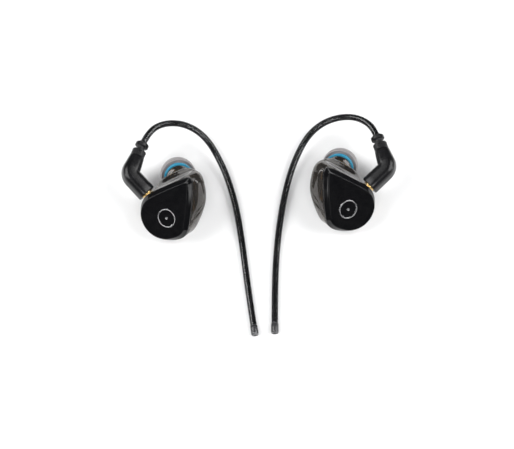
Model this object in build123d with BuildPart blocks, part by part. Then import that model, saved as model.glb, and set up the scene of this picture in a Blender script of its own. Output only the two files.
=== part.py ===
"""A pair of over-ear in-ear monitors, lying on a table with their faceplates up.

Each monitor is a hollow resin shell closed by a black faceplate.  Inside are a moving-coil
driver, two balanced-armature drivers, their sound tubes, a crossover board and its wires.
A brass nozzle carries a two-colour silicone eartip.  A round coaxial socket takes the
swivelling plug of a preformed ear hook: an angled housing, a slotted strain relief, and a
clear sleeve round a braided cable, closed by a clear end collar.

Millimetres.  +Z is up from the table, +X runs from the left monitor to the right one, and
the origin is the middle of the pair (without its cables) on the table.
Every piece is built as a left-hand piece, in one of three frames:
  monitor frame  origin on the joint between shell and faceplate, +Z out of the faceplate
  nozzle frame   origin where the shell's snout ends, +Z out along the nozzle
  socket frame   origin on the socket's seat in the shell wall, +Z out along the plug
Right-hand pieces are left-hand ones mirrored across the YZ plane.
"""

import math
import os

from build123d import *

# ---------------------------------------------------------------- driving dimensions
# Circles (x, y, radius) whose smooth hull is the outline of the faceplate ...
FACE_LOBES = {
    "belly": (-0.7, -0.6, 8.0),
    "heel": (4.1, -3.6, 4.0),
    "flank": (4.5, 4.4, 4.45),
    "tip": (8.45, 12.35, 1.3),
    "gland": (-3.7, 2.0, 4.15),
}
# ... of the shell where it bulges most ...
BULGE_LOBES = {
    "belly": (-0.3, -0.3, 8.3),
    "heel": (4.8, -2.2, 4.6),
    "flank": (6.6, 5.2, 5.3),
    "tip": (8.1, 11.2, 3.1),
    "gland": (-4.2, 1.5, 4.3),
}
# ... and of the side that lies in the ear.
CONCHA_LOBES = {
    "belly": (0.4, 1.6, 6.9),
    "heel": (4.0, 1.2, 4.8),
    "flank": (5.4, 5.8, 4.8),
    "tip": (5.0, 9.8, 4.1),
    "gland": (-2.0, 5.0, 4.7),
}
LOBE_SOFTNESS = 0.45  # how far neighbouring lobes melt into each other
BULGE_DEPTH = 4.6  # depth below the faceplate joint
CONCHA_DEPTH = 7.2
FLOOR_DEPTH = 8.8
FLOOR_INSET = 2.0
SHELL_WALL = 1.0

FACEPLATE_EDGE = 0.7  # upright part of the faceplate's edge
FACEPLATE_HEIGHT = 1.9
FACEPLATE_BEVEL = 1.2  # width of its bevel
FACEPLATE_ROUNDING = 0.25
LIP_DEPTH = 1.0  # spigot that locates the faceplate in the shell
LIP_CLEARANCE = 0.05

EMBLEM_CENTRE = (1.2, -0.7)
EMBLEM_RADIUS = 3.1
EMBLEM_LINE = 0.3
EMBLEM_DOT_RADIUS = 0.45
EMBLEM_DEPTH = 0.25

NOZZLE_ROOT = (-0.65, 8.65, -11.0)
NOZZLE_TILT = 33.5  # degrees between the nozzle and straight down from the faceplate
NOZZLE_HEADING = 183.0  # degrees, which way it leans
SNOUT_RADIUS = 4.15  # at its end
SNOUT_ROOT_RADIUS = 4.5
SNOUT_LENGTH = 5.0
SNOUT_STEP = 0.3  # the cavity of the snout starts this much later
NOZZLE_LIP_RADIUS = 3.2
NOZZLE_LIP_STEP = 0.25  # how far the lip stands out from the tube
NOZZLE_WALL = 0.55
NOZZLE_RADIUS = NOZZLE_LIP_RADIUS - NOZZLE_LIP_STEP
NOZZLE_BORE_RADIUS = NOZZLE_RADIUS - NOZZLE_WALL
NOZZLE_ROOT_LENGTH = 2.0  # inside the snout
NOZZLE_LENGTH = 5.6
NOZZLE_LIP_LENGTH = 0.8
NOZZLE_COLLAR_RADIUS = 3.9
NOZZLE_COLLAR_THICKNESS = 0.3
SCREEN_THICKNESS = 0.15
SCREEN_SEAT = 0.2  # width of the step that it rests on
SCREEN_RADIUS = NOZZLE_BORE_RADIUS + SCREEN_SEAT
SCREEN_HOLE_RADIUS = 0.22
SCREEN_RINGS = ((0.85, 6), (1.65, 12))  # ring radius, holes

TIP_LENGTH = 8.5
TIP_RADIUS = 5.75
TIP_WALL = 0.45
TIP_RIM = 1.9  # height of the flange's free edge above the snout
TIP_MOUTH_RADIUS = 2.3
CORE_START = 0.65  # its root, above the snout's end
CORE_END = 7.0
CORE_ROUNDING = 0.4
CORE_BASE_RADIUS = 4.7
CORE_BASE_LENGTH = 1.0
CORE_WALL = 0.55
CORE_CLEARANCE = 0.08  # between the core's bore and the nozzle's lip

SOCKET_HEADING = 138.8  # degrees in the faceplate's plane
SOCKET_DEPTH = 2.9  # below the faceplate joint
SOCKET_OFFSET = 1.8  # sideways from the monitor frame's origin
SOCKET_SEAT = 7.9  # distance from that origin to the seat
SOCKET_RADIUS = 1.55
SOCKET_BORE_RADIUS = 1.2
SOCKET_LENGTH = 3.2
SOCKET_FLANGE_RADIUS = 1.95
SOCKET_FLANGE_THICKNESS = 0.7
SOCKET_FLOOR = 0.4
CONTACT_RADIUS = 0.4
CONTACT_BORE_RADIUS = 0.2
CONTACT_LENGTH = 1.6
RUNNING_CLEARANCE = 0.03

PLUG_GAP = 0.3  # between the socket's flange and the plug's shoulder
PLUG_SHOULDER_RADIUS = 1.9
PLUG_SHOULDER_THICKNESS = 0.3
PLUG_SHANK_END = 3.2  # above the seat, inside the housing
PLUG_INSULATOR_START = -0.9
PIN_START = -2.4
PLUG_BARREL_RADIUS = 1.05
PLUG_BARREL_LENGTH = 2.2  # below the seat
PLUG_BORE_RADIUS = 0.75
PIN_RADIUS = 0.16
SNAP_RING_THICKNESS = 0.3
SNAP_RING_DEPTH = 0.14  # how deep it sits in the barrel
SNAP_RING_HEIGHT = -0.9  # along the socket frame's Z
SNAP_RING_GAP = 0.6  # width of its split

HOUSING_WIDTH = 5.7
HOUSING_END_WIDTH = 4.7
HOUSING_CORNER = 2.0
LOWER_LIMB = 8.5  # housing end to the corner of the two centrelines
UPPER_LIMB = 6.7
HOUSING_BEND = 66.0  # degrees
ELBOW_INNER_RADIUS = 0.15
ELBOW_RADIUS = HOUSING_WIDTH / 2 + ELBOW_INNER_RADIUS
HOUSING_EDGE = 0.35

RELIEF_STUB_RADIUS = 1.5
RELIEF_STUB_LENGTH = 2.0
RELIEF_COLLAR_RADIUS = 2.3
RELIEF_COLLAR_LENGTH = 2.3
RELIEF_NECK_RADIUS = 1.35
RELIEF_NECK_LENGTH = 1.4
RELIEF_DISC_RADIUS = 2.15
RELIEF_DISC_LENGTH = 1.3
RELIEF_END_RADIUS = 1.4
RELIEF_END_LENGTH = 0.7
RELIEF_SLOTS = 4
RELIEF_SLOT_WIDTH = 0.7
RELIEF_SLOT_DEPTH = 0.6
RELIEF_SLOT_MARGIN = 0.5

SLEEVE_RADIUS = 1.08
SLEEVE_WALL = 0.28
CABLE_CLEARANCE = 0.05
COLLAR_LENGTH = 3.2
COLLAR_WALL = 0.12
COLLAR_FLOOR = 0.6
COLLAR_ROUNDING = 0.1

DRIVER_CENTRE = (-0.6, -1.6)
DRIVER_RADIUS = 4.6
DRIVER_TOP = 1.35  # depth of its back below the faceplate joint
DRIVER_HEIGHT = 3.5
DRIVER_WALL = 0.35
DRIVER_BACK = 0.45
GRILLE_THICKNESS = 0.25
GRILLE_HOLES = 8
GRILLE_HOLE_RADIUS = 0.55
POLE_RADIUS = 1.7
MAGNET_INNER_RADIUS = 2.35
MAGNET_OUTER_RADIUS = 3.6
MAGNET_PLATE = 0.4
MAGNET_HEIGHT = 1.0
COIL_RADIUS = 1.9
COIL_WALL = 0.2
COIL_GAP = 0.35  # between the coil's end and the back plate, at rest
DIAPHRAGM_RADIUS = 4.0
DIAPHRAGM_THICKNESS = 0.12
DIAPHRAGM_DEPTH = 2.5  # below the driver's back

MID_DRIVER_SIZE = (3.2, 6.2, 2.4)
MID_DRIVER_CENTRE = (5.7, 3.4, -4.9)
MID_DRIVER_TURN = 20.0
HIGH_DRIVER_SIZE = (2.5, 4.6, 1.9)
HIGH_DRIVER_CENTRE = (6.6, 9.6, -2.6)
HIGH_DRIVER_TURN = 100.0
CASE_ROUNDING = 0.35
SPOUT_RADIUS = 0.55
SPOUT_LENGTH = 0.8

TUBE_RADIUS = 0.8
TUBE_BORE_RADIUS = 0.56
TUBE_SPACING = 1.0  # from the nozzle's axis
TUBE_DROP = 2.6  # above the snout's end, where the tubes turn into line with the nozzle
TUBE_END = 1.6  # where the tubes end inside the nozzle

BOARD_SIZE = (4.0, 2.2, 0.5)
BOARD_CENTRE = (-1.0, 5.6, -3.2)
BOARD_TURN = 28.0
CHIP_SIZE = (1.0, 0.6, 0.4)
WIRE_RADIUS = 0.14
WIRE_BEND = 0.2
# First runs of the sound tubes, and points of the wires in the monitor frame.
MID_TUBE_RUN = 2.15
HIGH_TUBE_RUN = 2.3
MID_TUBE_SIDE = 1
WIRES = (
    ((-4.7, 1.72, -2.9), (-4.3, 1.4, -2.9), (-3.2, 3.0, -2.9), (-2.84, 4.6, -2.95)),
    ((0.82, 6.5, -2.95), (2.2, 5.6, -3.4), (3.78, 3.96, -4.6)),
    ((-0.46, 4.58, -2.95), (-0.5, 3.9, -2.5), (-0.5, 3.02, -2.5)),
)

VENT_HEADING = 186.0
VENT_DEPTH = 1.9
VENT_RADIUS = 0.55
VENT_FLANGE_RADIUS = 0.85
VENT_FLANGE_THICKNESS = 0.25
VENT_BORE_RADIUS = 0.25
VENT_STANDOFF = 0.2  # the wall curves under its flange

# How each monitor lies: turned and tilted, then set down on the table.
CANT = -25.0  # degrees about Y
LEAN = 45.0  # degrees about X, which brings the eartip down to the table
REST_HEIGHT = 9.72  # of the monitor frame's origin above the table
SIDES = {
    # spin about Z and swivel of the hook in degrees, place of the monitor frame's origin
    "left": {"spin": 0.0, "swivel": 55.0, "place": (-29.73, -10.36), "mirrored": False},
    "right": {"spin": 3.5, "swivel": 55.0, "place": (28.87, -7.26), "mirrored": True},
}

# Free points of each ear hook, chosen by hand: where its cable goes after the strain relief.
LYING = SLEEVE_RADIUS + COLLAR_WALL  # height of its axis where it lies on the table
HOOK_ROUTES = {
    "left": [
        (-33.9, 20.4, 10.2),
        (-29.8, 22.4, 9.4),
        (-24.9, 22.7, 8.3),
        (-20.3, 21.1, 6.9),
        (-16.6, 18.1, 5.3),
        (-13.6, 13.6, 3.6),
        (-10.4, 6.9, 2.1),
        (-7.3, -4.0, LYING + 0.1),
        (-5.2, -18.1, LYING),
        (-3.4, -33.6, LYING),
        (-1.3, -48.1, LYING),
    ],
    "right": [
        (35.4, 22.0, 10.3),
        (31.4, 24.5, 9.5),
        (26.4, 25.1, 8.4),
        (21.3, 24.0, 6.9),
        (17.0, 21.1, 5.4),
        (13.8, 16.8, 3.7),
        (10.4, 8.9, 2.1),
        (7.7, -2.6, LYING + 0.1),
        (5.8, -17.0, LYING),
        (5.0, -32.6, LYING),
        (5.0, -47.4, LYING),
    ],
}
ARC_SHARE = 0.45  # of the shorter run, taken by each of a route's arcs
FIRST_RUN = 3.5

OUTLINE_POINTS = 26
OUTLINE_SAMPLES = 720
OUTLINE_START = 225.0  # degrees


# ---------------------------------------------------------------- outlines and frames
def outline(lobes, inset=0.0):
    """Evenly spaced points on the smooth hull of the lobes, moved in by inset."""
    samples = []
    for k in range(OUTLINE_SAMPLES):
        angle = math.radians(OUTLINE_START + 360 * k / OUTLINE_SAMPLES)
        out = Vector(math.cos(angle), math.sin(angle))
        along = Vector(-out.Y, out.X)
        reach = [x * out.X + y * out.Y + r for x, y, r in lobes]
        longest = max(reach)
        weights = [math.exp((v - longest) / LOBE_SOFTNESS) for v in reach]
        total = sum(weights)
        support = longest + LOBE_SOFTNESS * math.log(total)
        slide = sum(w * (x * along.X + y * along.Y) for w, (x, y, r) in zip(weights, lobes)) / total
        samples.append((out * support + along * slide, out))
    lengths = [0.0]
    for (here, _), (following, _) in zip(samples, samples[1:] + samples[:1]):
        lengths.append(lengths[-1] + (following - here).length)
    step = lengths[-1] / OUTLINE_POINTS
    picked = []
    for n in range(OUTLINE_POINTS):
        nearest = min(range(OUTLINE_SAMPLES), key=lambda k: abs(lengths[k] - n * step))
        point, out = samples[nearest]
        picked.append(point - out * inset)
    return picked


def blended(first, second, share):
    """Lobes between two sets of lobes."""
    return {
        name: tuple(a + (b - a) * share for a, b in zip(first[name], second[name]))
        for name in first
    }


def nozzle_direction():
    tilt, heading = math.radians(NOZZLE_TILT), math.radians(NOZZLE_HEADING)
    sideways = math.sin(tilt)
    return Vector(sideways * math.cos(heading), sideways * math.sin(heading), -math.cos(tilt))


def nozzle_plane(distance=0.0, outwards=True):
    """A plane across the nozzle, at a distance beyond the snout's end."""
    axis = nozzle_direction()
    normal = axis if outwards else -axis
    sideways = Vector(1, 0, 0) - axis * axis.X
    return Plane(origin=Vector(*NOZZLE_ROOT) + axis * distance, x_dir=sideways, z_dir=normal)


def socket_plane():
    """The socket frame: its X lies in the faceplate's plane, and its Z runs out of the shell."""
    heading = math.radians(SOCKET_HEADING)
    axis = Vector(math.cos(heading), math.sin(heading))
    sideways = Vector(-axis.Y, axis.X)
    origin = axis * SOCKET_SEAT + sideways * SOCKET_OFFSET - Vector(0, 0, SOCKET_DEPTH)
    return Plane(origin=origin, x_dir=-sideways, z_dir=axis)


def shell_stations(wall):
    """Heights, lobes and insets of the shell's sections, or of its cavity's with a wall."""
    swelling = blended(FACE_LOBES, BULGE_LOBES, 0.6)
    return [
        (0.0, FACE_LOBES, wall),
        (-BULGE_DEPTH / 3, swelling, wall),
        (-BULGE_DEPTH + wall / 4, BULGE_LOBES, wall),
        (-CONCHA_DEPTH + wall / 2, CONCHA_LOBES, wall),
        (-FLOOR_DEPTH + wall, CONCHA_LOBES, FLOOR_INSET + wall),
    ]


# ---------------------------------------------------------------- shell and faceplate
def make_shell():
    """Hollow resin body with a snout for the nozzle, open towards the faceplate."""
    with BuildPart() as shell:
        for height, lobes, inset in shell_stations(0.0):
            with BuildSketch(Plane.XY.offset(height)):
                with BuildLine():
                    Spline(*outline(list(lobes.values()), inset), periodic=True)
                make_face()
        loft()
        for distance, radius in ((-SNOUT_LENGTH, SNOUT_ROOT_RADIUS), (0.0, SNOUT_RADIUS)):
            with BuildSketch(nozzle_plane(distance)):
                Circle(radius)
        loft()
        for height, lobes, inset in shell_stations(SHELL_WALL):
            with BuildSketch(Plane.XY.offset(height)):
                with BuildLine():
                    Spline(*outline(list(lobes.values()), inset), periodic=True)
                make_face()
        loft(mode=Mode.SUBTRACT)
        for distance, radius in ((SNOUT_STEP - SNOUT_LENGTH, SNOUT_ROOT_RADIUS), (0.0, SNOUT_RADIUS)):
            with BuildSketch(nozzle_plane(distance)):
                Circle(radius - SHELL_WALL)
        loft(mode=Mode.SUBTRACT)
        with BuildSketch(Plane.XY):
            with BuildLine():
                Spline(*outline(list(FACE_LOBES.values()), SHELL_WALL), periodic=True)
            make_face()
        extrude(amount=-LIP_DEPTH - LIP_CLEARANCE, mode=Mode.SUBTRACT)
        seat = socket_plane()
        with BuildSketch(seat):
            Circle(SOCKET_FLANGE_RADIUS + LIP_CLEARANCE)
        extrude(amount=2 * SHELL_WALL, mode=Mode.SUBTRACT)
        with BuildSketch(seat):
            Circle(SOCKET_RADIUS)
        extrude(amount=-2 * SHELL_WALL, mode=Mode.SUBTRACT)
        with BuildSketch(vent_plane().offset(-2 * SHELL_WALL)):
            Circle(VENT_RADIUS)
        extrude(amount=3 * SHELL_WALL, mode=Mode.SUBTRACT)
    return shell.part


def make_faceplate():
    """Black lid: a spigot inside the shell, an upright edge, and a bevelled, rounded face."""
    lobes = list(FACE_LOBES.values())
    with BuildPart() as faceplate:
        with BuildSketch(Plane.XY):
            with BuildLine():
                Spline(*outline(lobes), periodic=True)
            make_face()
        extrude(amount=FACEPLATE_EDGE)
        for height, inset in ((FACEPLATE_EDGE, 0.0), (FACEPLATE_HEIGHT, FACEPLATE_BEVEL)):
            with BuildSketch(Plane.XY.offset(height)):
                with BuildLine():
                    Spline(*outline(lobes, inset), periodic=True)
                make_face()
        loft()
        rim = faceplate.faces().sort_by(Axis.Z)[-1].edges()
        fillet(rim, FACEPLATE_ROUNDING)
        with BuildSketch(Plane.XY):
            with BuildLine():
                Spline(*outline(lobes, SHELL_WALL + LIP_CLEARANCE), periodic=True)
            make_face()
        extrude(amount=-LIP_DEPTH)
        with BuildSketch(Plane.XY.offset(FACEPLATE_HEIGHT)):
            with Locations(EMBLEM_CENTRE):
                Circle(EMBLEM_RADIUS)
                Circle(EMBLEM_RADIUS - EMBLEM_LINE, mode=Mode.SUBTRACT)
                Circle(EMBLEM_DOT_RADIUS)
        extrude(amount=-EMBLEM_DEPTH, mode=Mode.SUBTRACT)
    return faceplate.part


def make_emblem():
    """Plain metal ring and dot, let into the faceplate."""
    with BuildPart() as emblem:
        with BuildSketch(Plane.XY.offset(FACEPLATE_HEIGHT - EMBLEM_DEPTH)):
            with Locations(EMBLEM_CENTRE):
                Circle(EMBLEM_RADIUS)
                Circle(EMBLEM_RADIUS - EMBLEM_LINE, mode=Mode.SUBTRACT)
                Circle(EMBLEM_DOT_RADIUS)
        extrude(amount=EMBLEM_DEPTH)
    return emblem.part


def vent_plane():
    """Outside of the shell wall at the pressure vent, facing out."""
    heading = math.radians(VENT_HEADING)
    out = Vector(math.cos(heading), math.sin(heading))
    share = VENT_DEPTH / BULGE_DEPTH
    lobes = blended(FACE_LOBES, BULGE_LOBES, share).values()
    along = Vector(-out.Y, out.X)
    x, y, r = max(lobes, key=lambda lobe: lobe[0] * out.X + lobe[1] * out.Y + lobe[2])
    touch = Vector(x, y) + out * r
    return Plane(origin=touch - Vector(0, 0, VENT_DEPTH), x_dir=along, z_dir=out)


def make_vent():
    """Flanged metal grommet that lets air out of the shell."""
    with BuildPart() as vent:
        with BuildSketch(vent_plane().offset(-SHELL_WALL)):
            Circle(VENT_RADIUS)
        extrude(amount=SHELL_WALL)
        with BuildSketch(vent_plane().offset(VENT_STANDOFF)):
            Circle(VENT_FLANGE_RADIUS)
        extrude(amount=VENT_FLANGE_THICKNESS)
        with BuildSketch(vent_plane().offset(-SHELL_WALL)):
            Circle(VENT_RADIUS)
        extrude(amount=SHELL_WALL + VENT_STANDOFF)
        with BuildSketch(vent_plane().offset(-2 * SHELL_WALL)):
            Circle(VENT_BORE_RADIUS)
        extrude(amount=4 * SHELL_WALL, mode=Mode.SUBTRACT)
    return vent.part


# ---------------------------------------------------------------- nozzle and eartip
def make_nozzle():
    """Brass tube glued in the snout, with a thin collar and a lip that holds the eartip."""
    seat = SCREEN_THICKNESS + LIP_CLEARANCE
    with BuildPart() as nozzle:
        with BuildSketch(nozzle_plane(-NOZZLE_ROOT_LENGTH)):
            Circle(SNOUT_RADIUS - SHELL_WALL - LIP_CLEARANCE)
        extrude(amount=NOZZLE_ROOT_LENGTH)
        with BuildSketch(nozzle_plane(LIP_CLEARANCE)):
            Circle(NOZZLE_COLLAR_RADIUS)
        extrude(amount=NOZZLE_COLLAR_THICKNESS)
        with BuildSketch(nozzle_plane()):
            Circle(NOZZLE_RADIUS)
        extrude(amount=NOZZLE_LENGTH)
        with BuildSketch(nozzle_plane(NOZZLE_LENGTH - NOZZLE_LIP_LENGTH)):
            Circle(NOZZLE_LIP_RADIUS)
        extrude(amount=NOZZLE_LIP_LENGTH)
        with BuildSketch(nozzle_plane(-2 * NOZZLE_ROOT_LENGTH)):
            Circle(NOZZLE_BORE_RADIUS)
        extrude(amount=2 * NOZZLE_ROOT_LENGTH + 2 * NOZZLE_LENGTH, mode=Mode.SUBTRACT)
        with BuildSketch(nozzle_plane(NOZZLE_LENGTH - seat)):
            Circle(SCREEN_RADIUS)
        extrude(amount=2 * seat, mode=Mode.SUBTRACT)
    return nozzle.part


def make_screen():
    """Perforated wax screen in the mouth of the nozzle."""
    with BuildPart() as screen:
        with BuildSketch(nozzle_plane(NOZZLE_LENGTH - SCREEN_THICKNESS - LIP_CLEARANCE)):
            Circle(SCREEN_RADIUS)
            Circle(SCREEN_HOLE_RADIUS, mode=Mode.SUBTRACT)
            for ring, holes in SCREEN_RINGS:
                with PolarLocations(ring, holes):
                    Circle(SCREEN_HOLE_RADIUS, mode=Mode.SUBTRACT)
        extrude(amount=SCREEN_THICKNESS)
    return screen.part


def profile_plane():
    """Plane through the nozzle's axis: X is the distance from the axis, Y runs out along it."""
    across = nozzle_plane()
    return Plane(origin=across.origin, x_dir=across.x_dir, z_dir=-across.y_dir)


def make_core():
    """Firm inner tube of the eartip, with a bead round its root."""
    bore = NOZZLE_LIP_RADIUS + CORE_CLEARANCE
    outer = bore + CORE_WALL
    with BuildPart() as core:
        with BuildSketch(nozzle_plane(CORE_START)):
            Circle(CORE_BASE_RADIUS)
            Circle(bore, mode=Mode.SUBTRACT)
        extrude(amount=CORE_BASE_LENGTH)
        fillet(core.edges().filter_by(GeomType.CIRCLE).sort_by(SortBy.RADIUS)[-2:], CORE_ROUNDING)
        with BuildSketch(nozzle_plane(CORE_START + CORE_BASE_LENGTH / 2)):
            Circle(outer)
            Circle(bore, mode=Mode.SUBTRACT)
        extrude(amount=CORE_END - CORE_START - CORE_BASE_LENGTH / 2)
    return core.part


def make_flange():
    """Soft silicone dome, open towards the shell and with a mouth at its front."""
    core = NOZZLE_LIP_RADIUS + CORE_CLEARANCE + CORE_WALL
    inner = TIP_RADIUS - TIP_WALL
    with BuildPart() as flange:
        with BuildSketch(profile_plane()):
            with BuildLine():
                Line((core, CORE_END), (TIP_MOUTH_RADIUS, CORE_END))
                Line((TIP_MOUTH_RADIUS, CORE_END), (TIP_MOUTH_RADIUS, TIP_LENGTH - 0.25))
                Spline(
                    (TIP_MOUTH_RADIUS, TIP_LENGTH - 0.25),
                    (TIP_MOUTH_RADIUS + 0.3, TIP_LENGTH),
                    (4.1, TIP_LENGTH - 1.05),
                    (TIP_RADIUS - 0.45, TIP_LENGTH - 2.9),
                    (TIP_RADIUS, TIP_RIM + 1.7),
                    (TIP_RADIUS - 0.12, TIP_RIM),
                    tangents=[(0, 1), (-0.15, -1)],
                )
                Line((TIP_RADIUS - 0.12, TIP_RIM), (inner - 0.05, TIP_RIM))
                Spline(
                    (inner - 0.05, TIP_RIM),
                    (inner, TIP_RIM + 1.7),
                    (inner - 0.5, TIP_LENGTH - 3.15),
                    (core, CORE_END - 0.5),
                    tangents=[(0.1, 1), (-1, 0.4)],
                )
                Line((core, CORE_END - 0.5), (core, CORE_END))
            make_face()
        revolve(axis=Axis(profile_plane().origin, nozzle_direction()))
    return flange.part


# ---------------------------------------------------------------- socket and plug
def make_socket_barrel():
    """Gold-plated socket body, flanged against the shell."""
    with BuildPart() as barrel:
        with BuildSketch(socket_plane()):
            Circle(SOCKET_FLANGE_RADIUS)
        extrude(amount=SOCKET_FLANGE_THICKNESS)
        with BuildSketch(socket_plane().offset(-SOCKET_LENGTH)):
            Circle(SOCKET_RADIUS)
        extrude(amount=SOCKET_LENGTH)
        with BuildSketch(socket_plane().offset(-SOCKET_LENGTH)):
            Circle(SOCKET_BORE_RADIUS)
        extrude(amount=2 * SOCKET_LENGTH, mode=Mode.SUBTRACT)
    return barrel.part


def make_socket_insulator():
    """White washer that holds the contact in the middle of the barrel."""
    with BuildPart() as insulator:
        with BuildSketch(socket_plane().offset(-SOCKET_LENGTH)):
            Circle(SOCKET_BORE_RADIUS)
            Circle(CONTACT_RADIUS, mode=Mode.SUBTRACT)
        extrude(amount=SOCKET_FLOOR)
    return insulator.part


def make_contact():
    """Tubular centre contact."""
    with BuildPart() as contact:
        with BuildSketch(socket_plane().offset(-SOCKET_LENGTH)):
            Circle(CONTACT_RADIUS)
        extrude(amount=CONTACT_LENGTH)
        with BuildSketch(socket_plane().offset(-SOCKET_LENGTH + SOCKET_FLOOR)):
            Circle(CONTACT_BORE_RADIUS)
        extrude(amount=CONTACT_LENGTH, mode=Mode.SUBTRACT)
    return contact.part


def make_plug_barrel():
    """Gold-plated plug body: shoulder, grooved barrel, and a shank inside the housing."""
    groove = SNAP_RING_THICKNESS + 2 * RUNNING_CLEARANCE
    with BuildPart() as barrel:
        with BuildSketch(socket_plane().offset(-PLUG_BARREL_LENGTH)):
            Circle(PLUG_BARREL_RADIUS)
        extrude(amount=PLUG_BARREL_LENGTH + PLUG_SHANK_END)
        with BuildSketch(socket_plane().offset(SOCKET_FLANGE_THICKNESS + PLUG_GAP)):
            Circle(PLUG_SHOULDER_RADIUS)
        extrude(amount=PLUG_SHOULDER_THICKNESS)
        with BuildSketch(socket_plane().offset(-PLUG_BARREL_LENGTH)):
            Circle(PLUG_BORE_RADIUS)
        extrude(amount=PLUG_BARREL_LENGTH + 2 * PLUG_SHANK_END, mode=Mode.SUBTRACT)
        with BuildSketch(socket_plane().offset(SNAP_RING_HEIGHT - groove / 2)):
            Circle(PLUG_BARREL_RADIUS + 1)
            Circle(PLUG_BARREL_RADIUS - SNAP_RING_DEPTH, mode=Mode.SUBTRACT)
        extrude(amount=groove, mode=Mode.SUBTRACT)
    return barrel.part


def make_snap_ring():
    """Split spring ring in the plug's groove that clicks into the socket."""
    with BuildPart() as ring:
        with BuildSketch(socket_plane().offset(SNAP_RING_HEIGHT - SNAP_RING_THICKNESS / 2)):
            Circle(SOCKET_BORE_RADIUS - RUNNING_CLEARANCE)
            Circle(PLUG_BARREL_RADIUS - SNAP_RING_DEPTH + RUNNING_CLEARANCE, mode=Mode.SUBTRACT)
            Rectangle(4, SNAP_RING_GAP, align=(Align.MIN, Align.CENTER), mode=Mode.SUBTRACT)
        extrude(amount=SNAP_RING_THICKNESS)
    return ring.part


def make_plug_insulator():
    """White sleeve between the plug's barrel and its pin."""
    with BuildPart() as insulator:
        with BuildSketch(socket_plane().offset(PLUG_INSULATOR_START)):
            Circle(PLUG_BORE_RADIUS)
            Circle(PIN_RADIUS, mode=Mode.SUBTRACT)
        extrude(amount=PLUG_SHANK_END - PLUG_INSULATOR_START)
    return insulator.part


def make_pin():
    """Centre pin of the plug."""
    with BuildPart() as pin:
        with BuildSketch(socket_plane().offset(PIN_START)):
            Circle(PIN_RADIUS)
        extrude(amount=PLUG_SHANK_END - PIN_START)
        chamfer(pin.faces().sort_by(Axis(socket_plane().origin, socket_plane().z_dir))[0].edges(), 0.06)
    return pin.part


def housing_start():
    """Height of the housing's flat end in the socket frame."""
    return SOCKET_FLANGE_THICKNESS + PLUG_GAP + PLUG_SHOULDER_THICKNESS


def bend_plane(swivel):
    """Plane of the plug's bend: X towards the side the hook turns to, Y out along the plug."""
    seat = socket_plane()
    angle = math.radians(swivel)
    side = seat.x_dir * math.cos(angle) + seat.y_dir * math.sin(angle)
    return Plane(origin=seat.origin, x_dir=side, z_dir=side.cross(seat.z_dir))


def upper_plane(swivel, distance=0.0):
    """A plane across the housing's upper limb, at a distance beyond its end."""
    bend = math.radians(HOUSING_BEND)
    flat = bend_plane(swivel)
    axis = flat.x_dir * math.sin(bend) + flat.y_dir * math.cos(bend)
    corner = flat.origin + flat.y_dir * (housing_start() + LOWER_LIMB)
    return Plane(origin=corner + axis * (UPPER_LIMB + distance), x_dir=flat.z_dir, z_dir=axis)


def make_housing(swivel):
    """Angled plug housing: a constant lower limb and elbow, and a tapering upper limb."""
    flat = bend_plane(swivel)
    bend = math.radians(HOUSING_BEND)
    reach = ELBOW_RADIUS * math.tan(bend / 2)
    start = housing_start()
    corner = start + LOWER_LIMB
    turn_in = (0, corner - reach)
    turn_out = (reach * math.sin(bend), corner + reach * math.cos(bend))
    limb_end = (UPPER_LIMB * math.sin(bend), corner + UPPER_LIMB * math.cos(bend))
    across = Plane(origin=flat.origin, x_dir=flat.z_dir, z_dir=flat.y_dir)
    with BuildPart() as housing:
        with BuildLine(flat):
            Line((0, start), turn_in)
            JernArc(turn_in, (0, 1), ELBOW_RADIUS, -HOUSING_BEND)
        with BuildSketch(across.offset(start)):
            RectangleRounded(HOUSING_WIDTH, HOUSING_WIDTH, HOUSING_CORNER)
        sweep()
        taper = HOUSING_END_WIDTH / HOUSING_WIDTH
        for distance, size in ((reach - UPPER_LIMB, 1.0), (0.0, taper)):
            with BuildSketch(upper_plane(swivel, distance)):
                width = HOUSING_WIDTH * size
                RectangleRounded(width, width, HOUSING_CORNER * size)
        loft()
        ends = [
            housing.faces().sort_by_distance(across.offset(start).origin)[0],
            housing.faces().sort_by_distance(upper_plane(swivel).origin)[0],
        ]
        fillet([edge for end in ends for edge in end.edges()], HOUSING_EDGE)
        with BuildLine(flat):
            Line((0, start), turn_in)
            JernArc(turn_in, (0, 1), ELBOW_RADIUS, -HOUSING_BEND)
            Line(turn_out, limb_end)
        with BuildSketch(across.offset(start)):
            Circle(PLUG_BARREL_RADIUS)
        sweep(mode=Mode.SUBTRACT)
        with BuildSketch(upper_plane(swivel, -RELIEF_STUB_LENGTH)):
            Circle(RELIEF_STUB_RADIUS)
        extrude(amount=2 * RELIEF_STUB_LENGTH, mode=Mode.SUBTRACT)
    return housing.part


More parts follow.
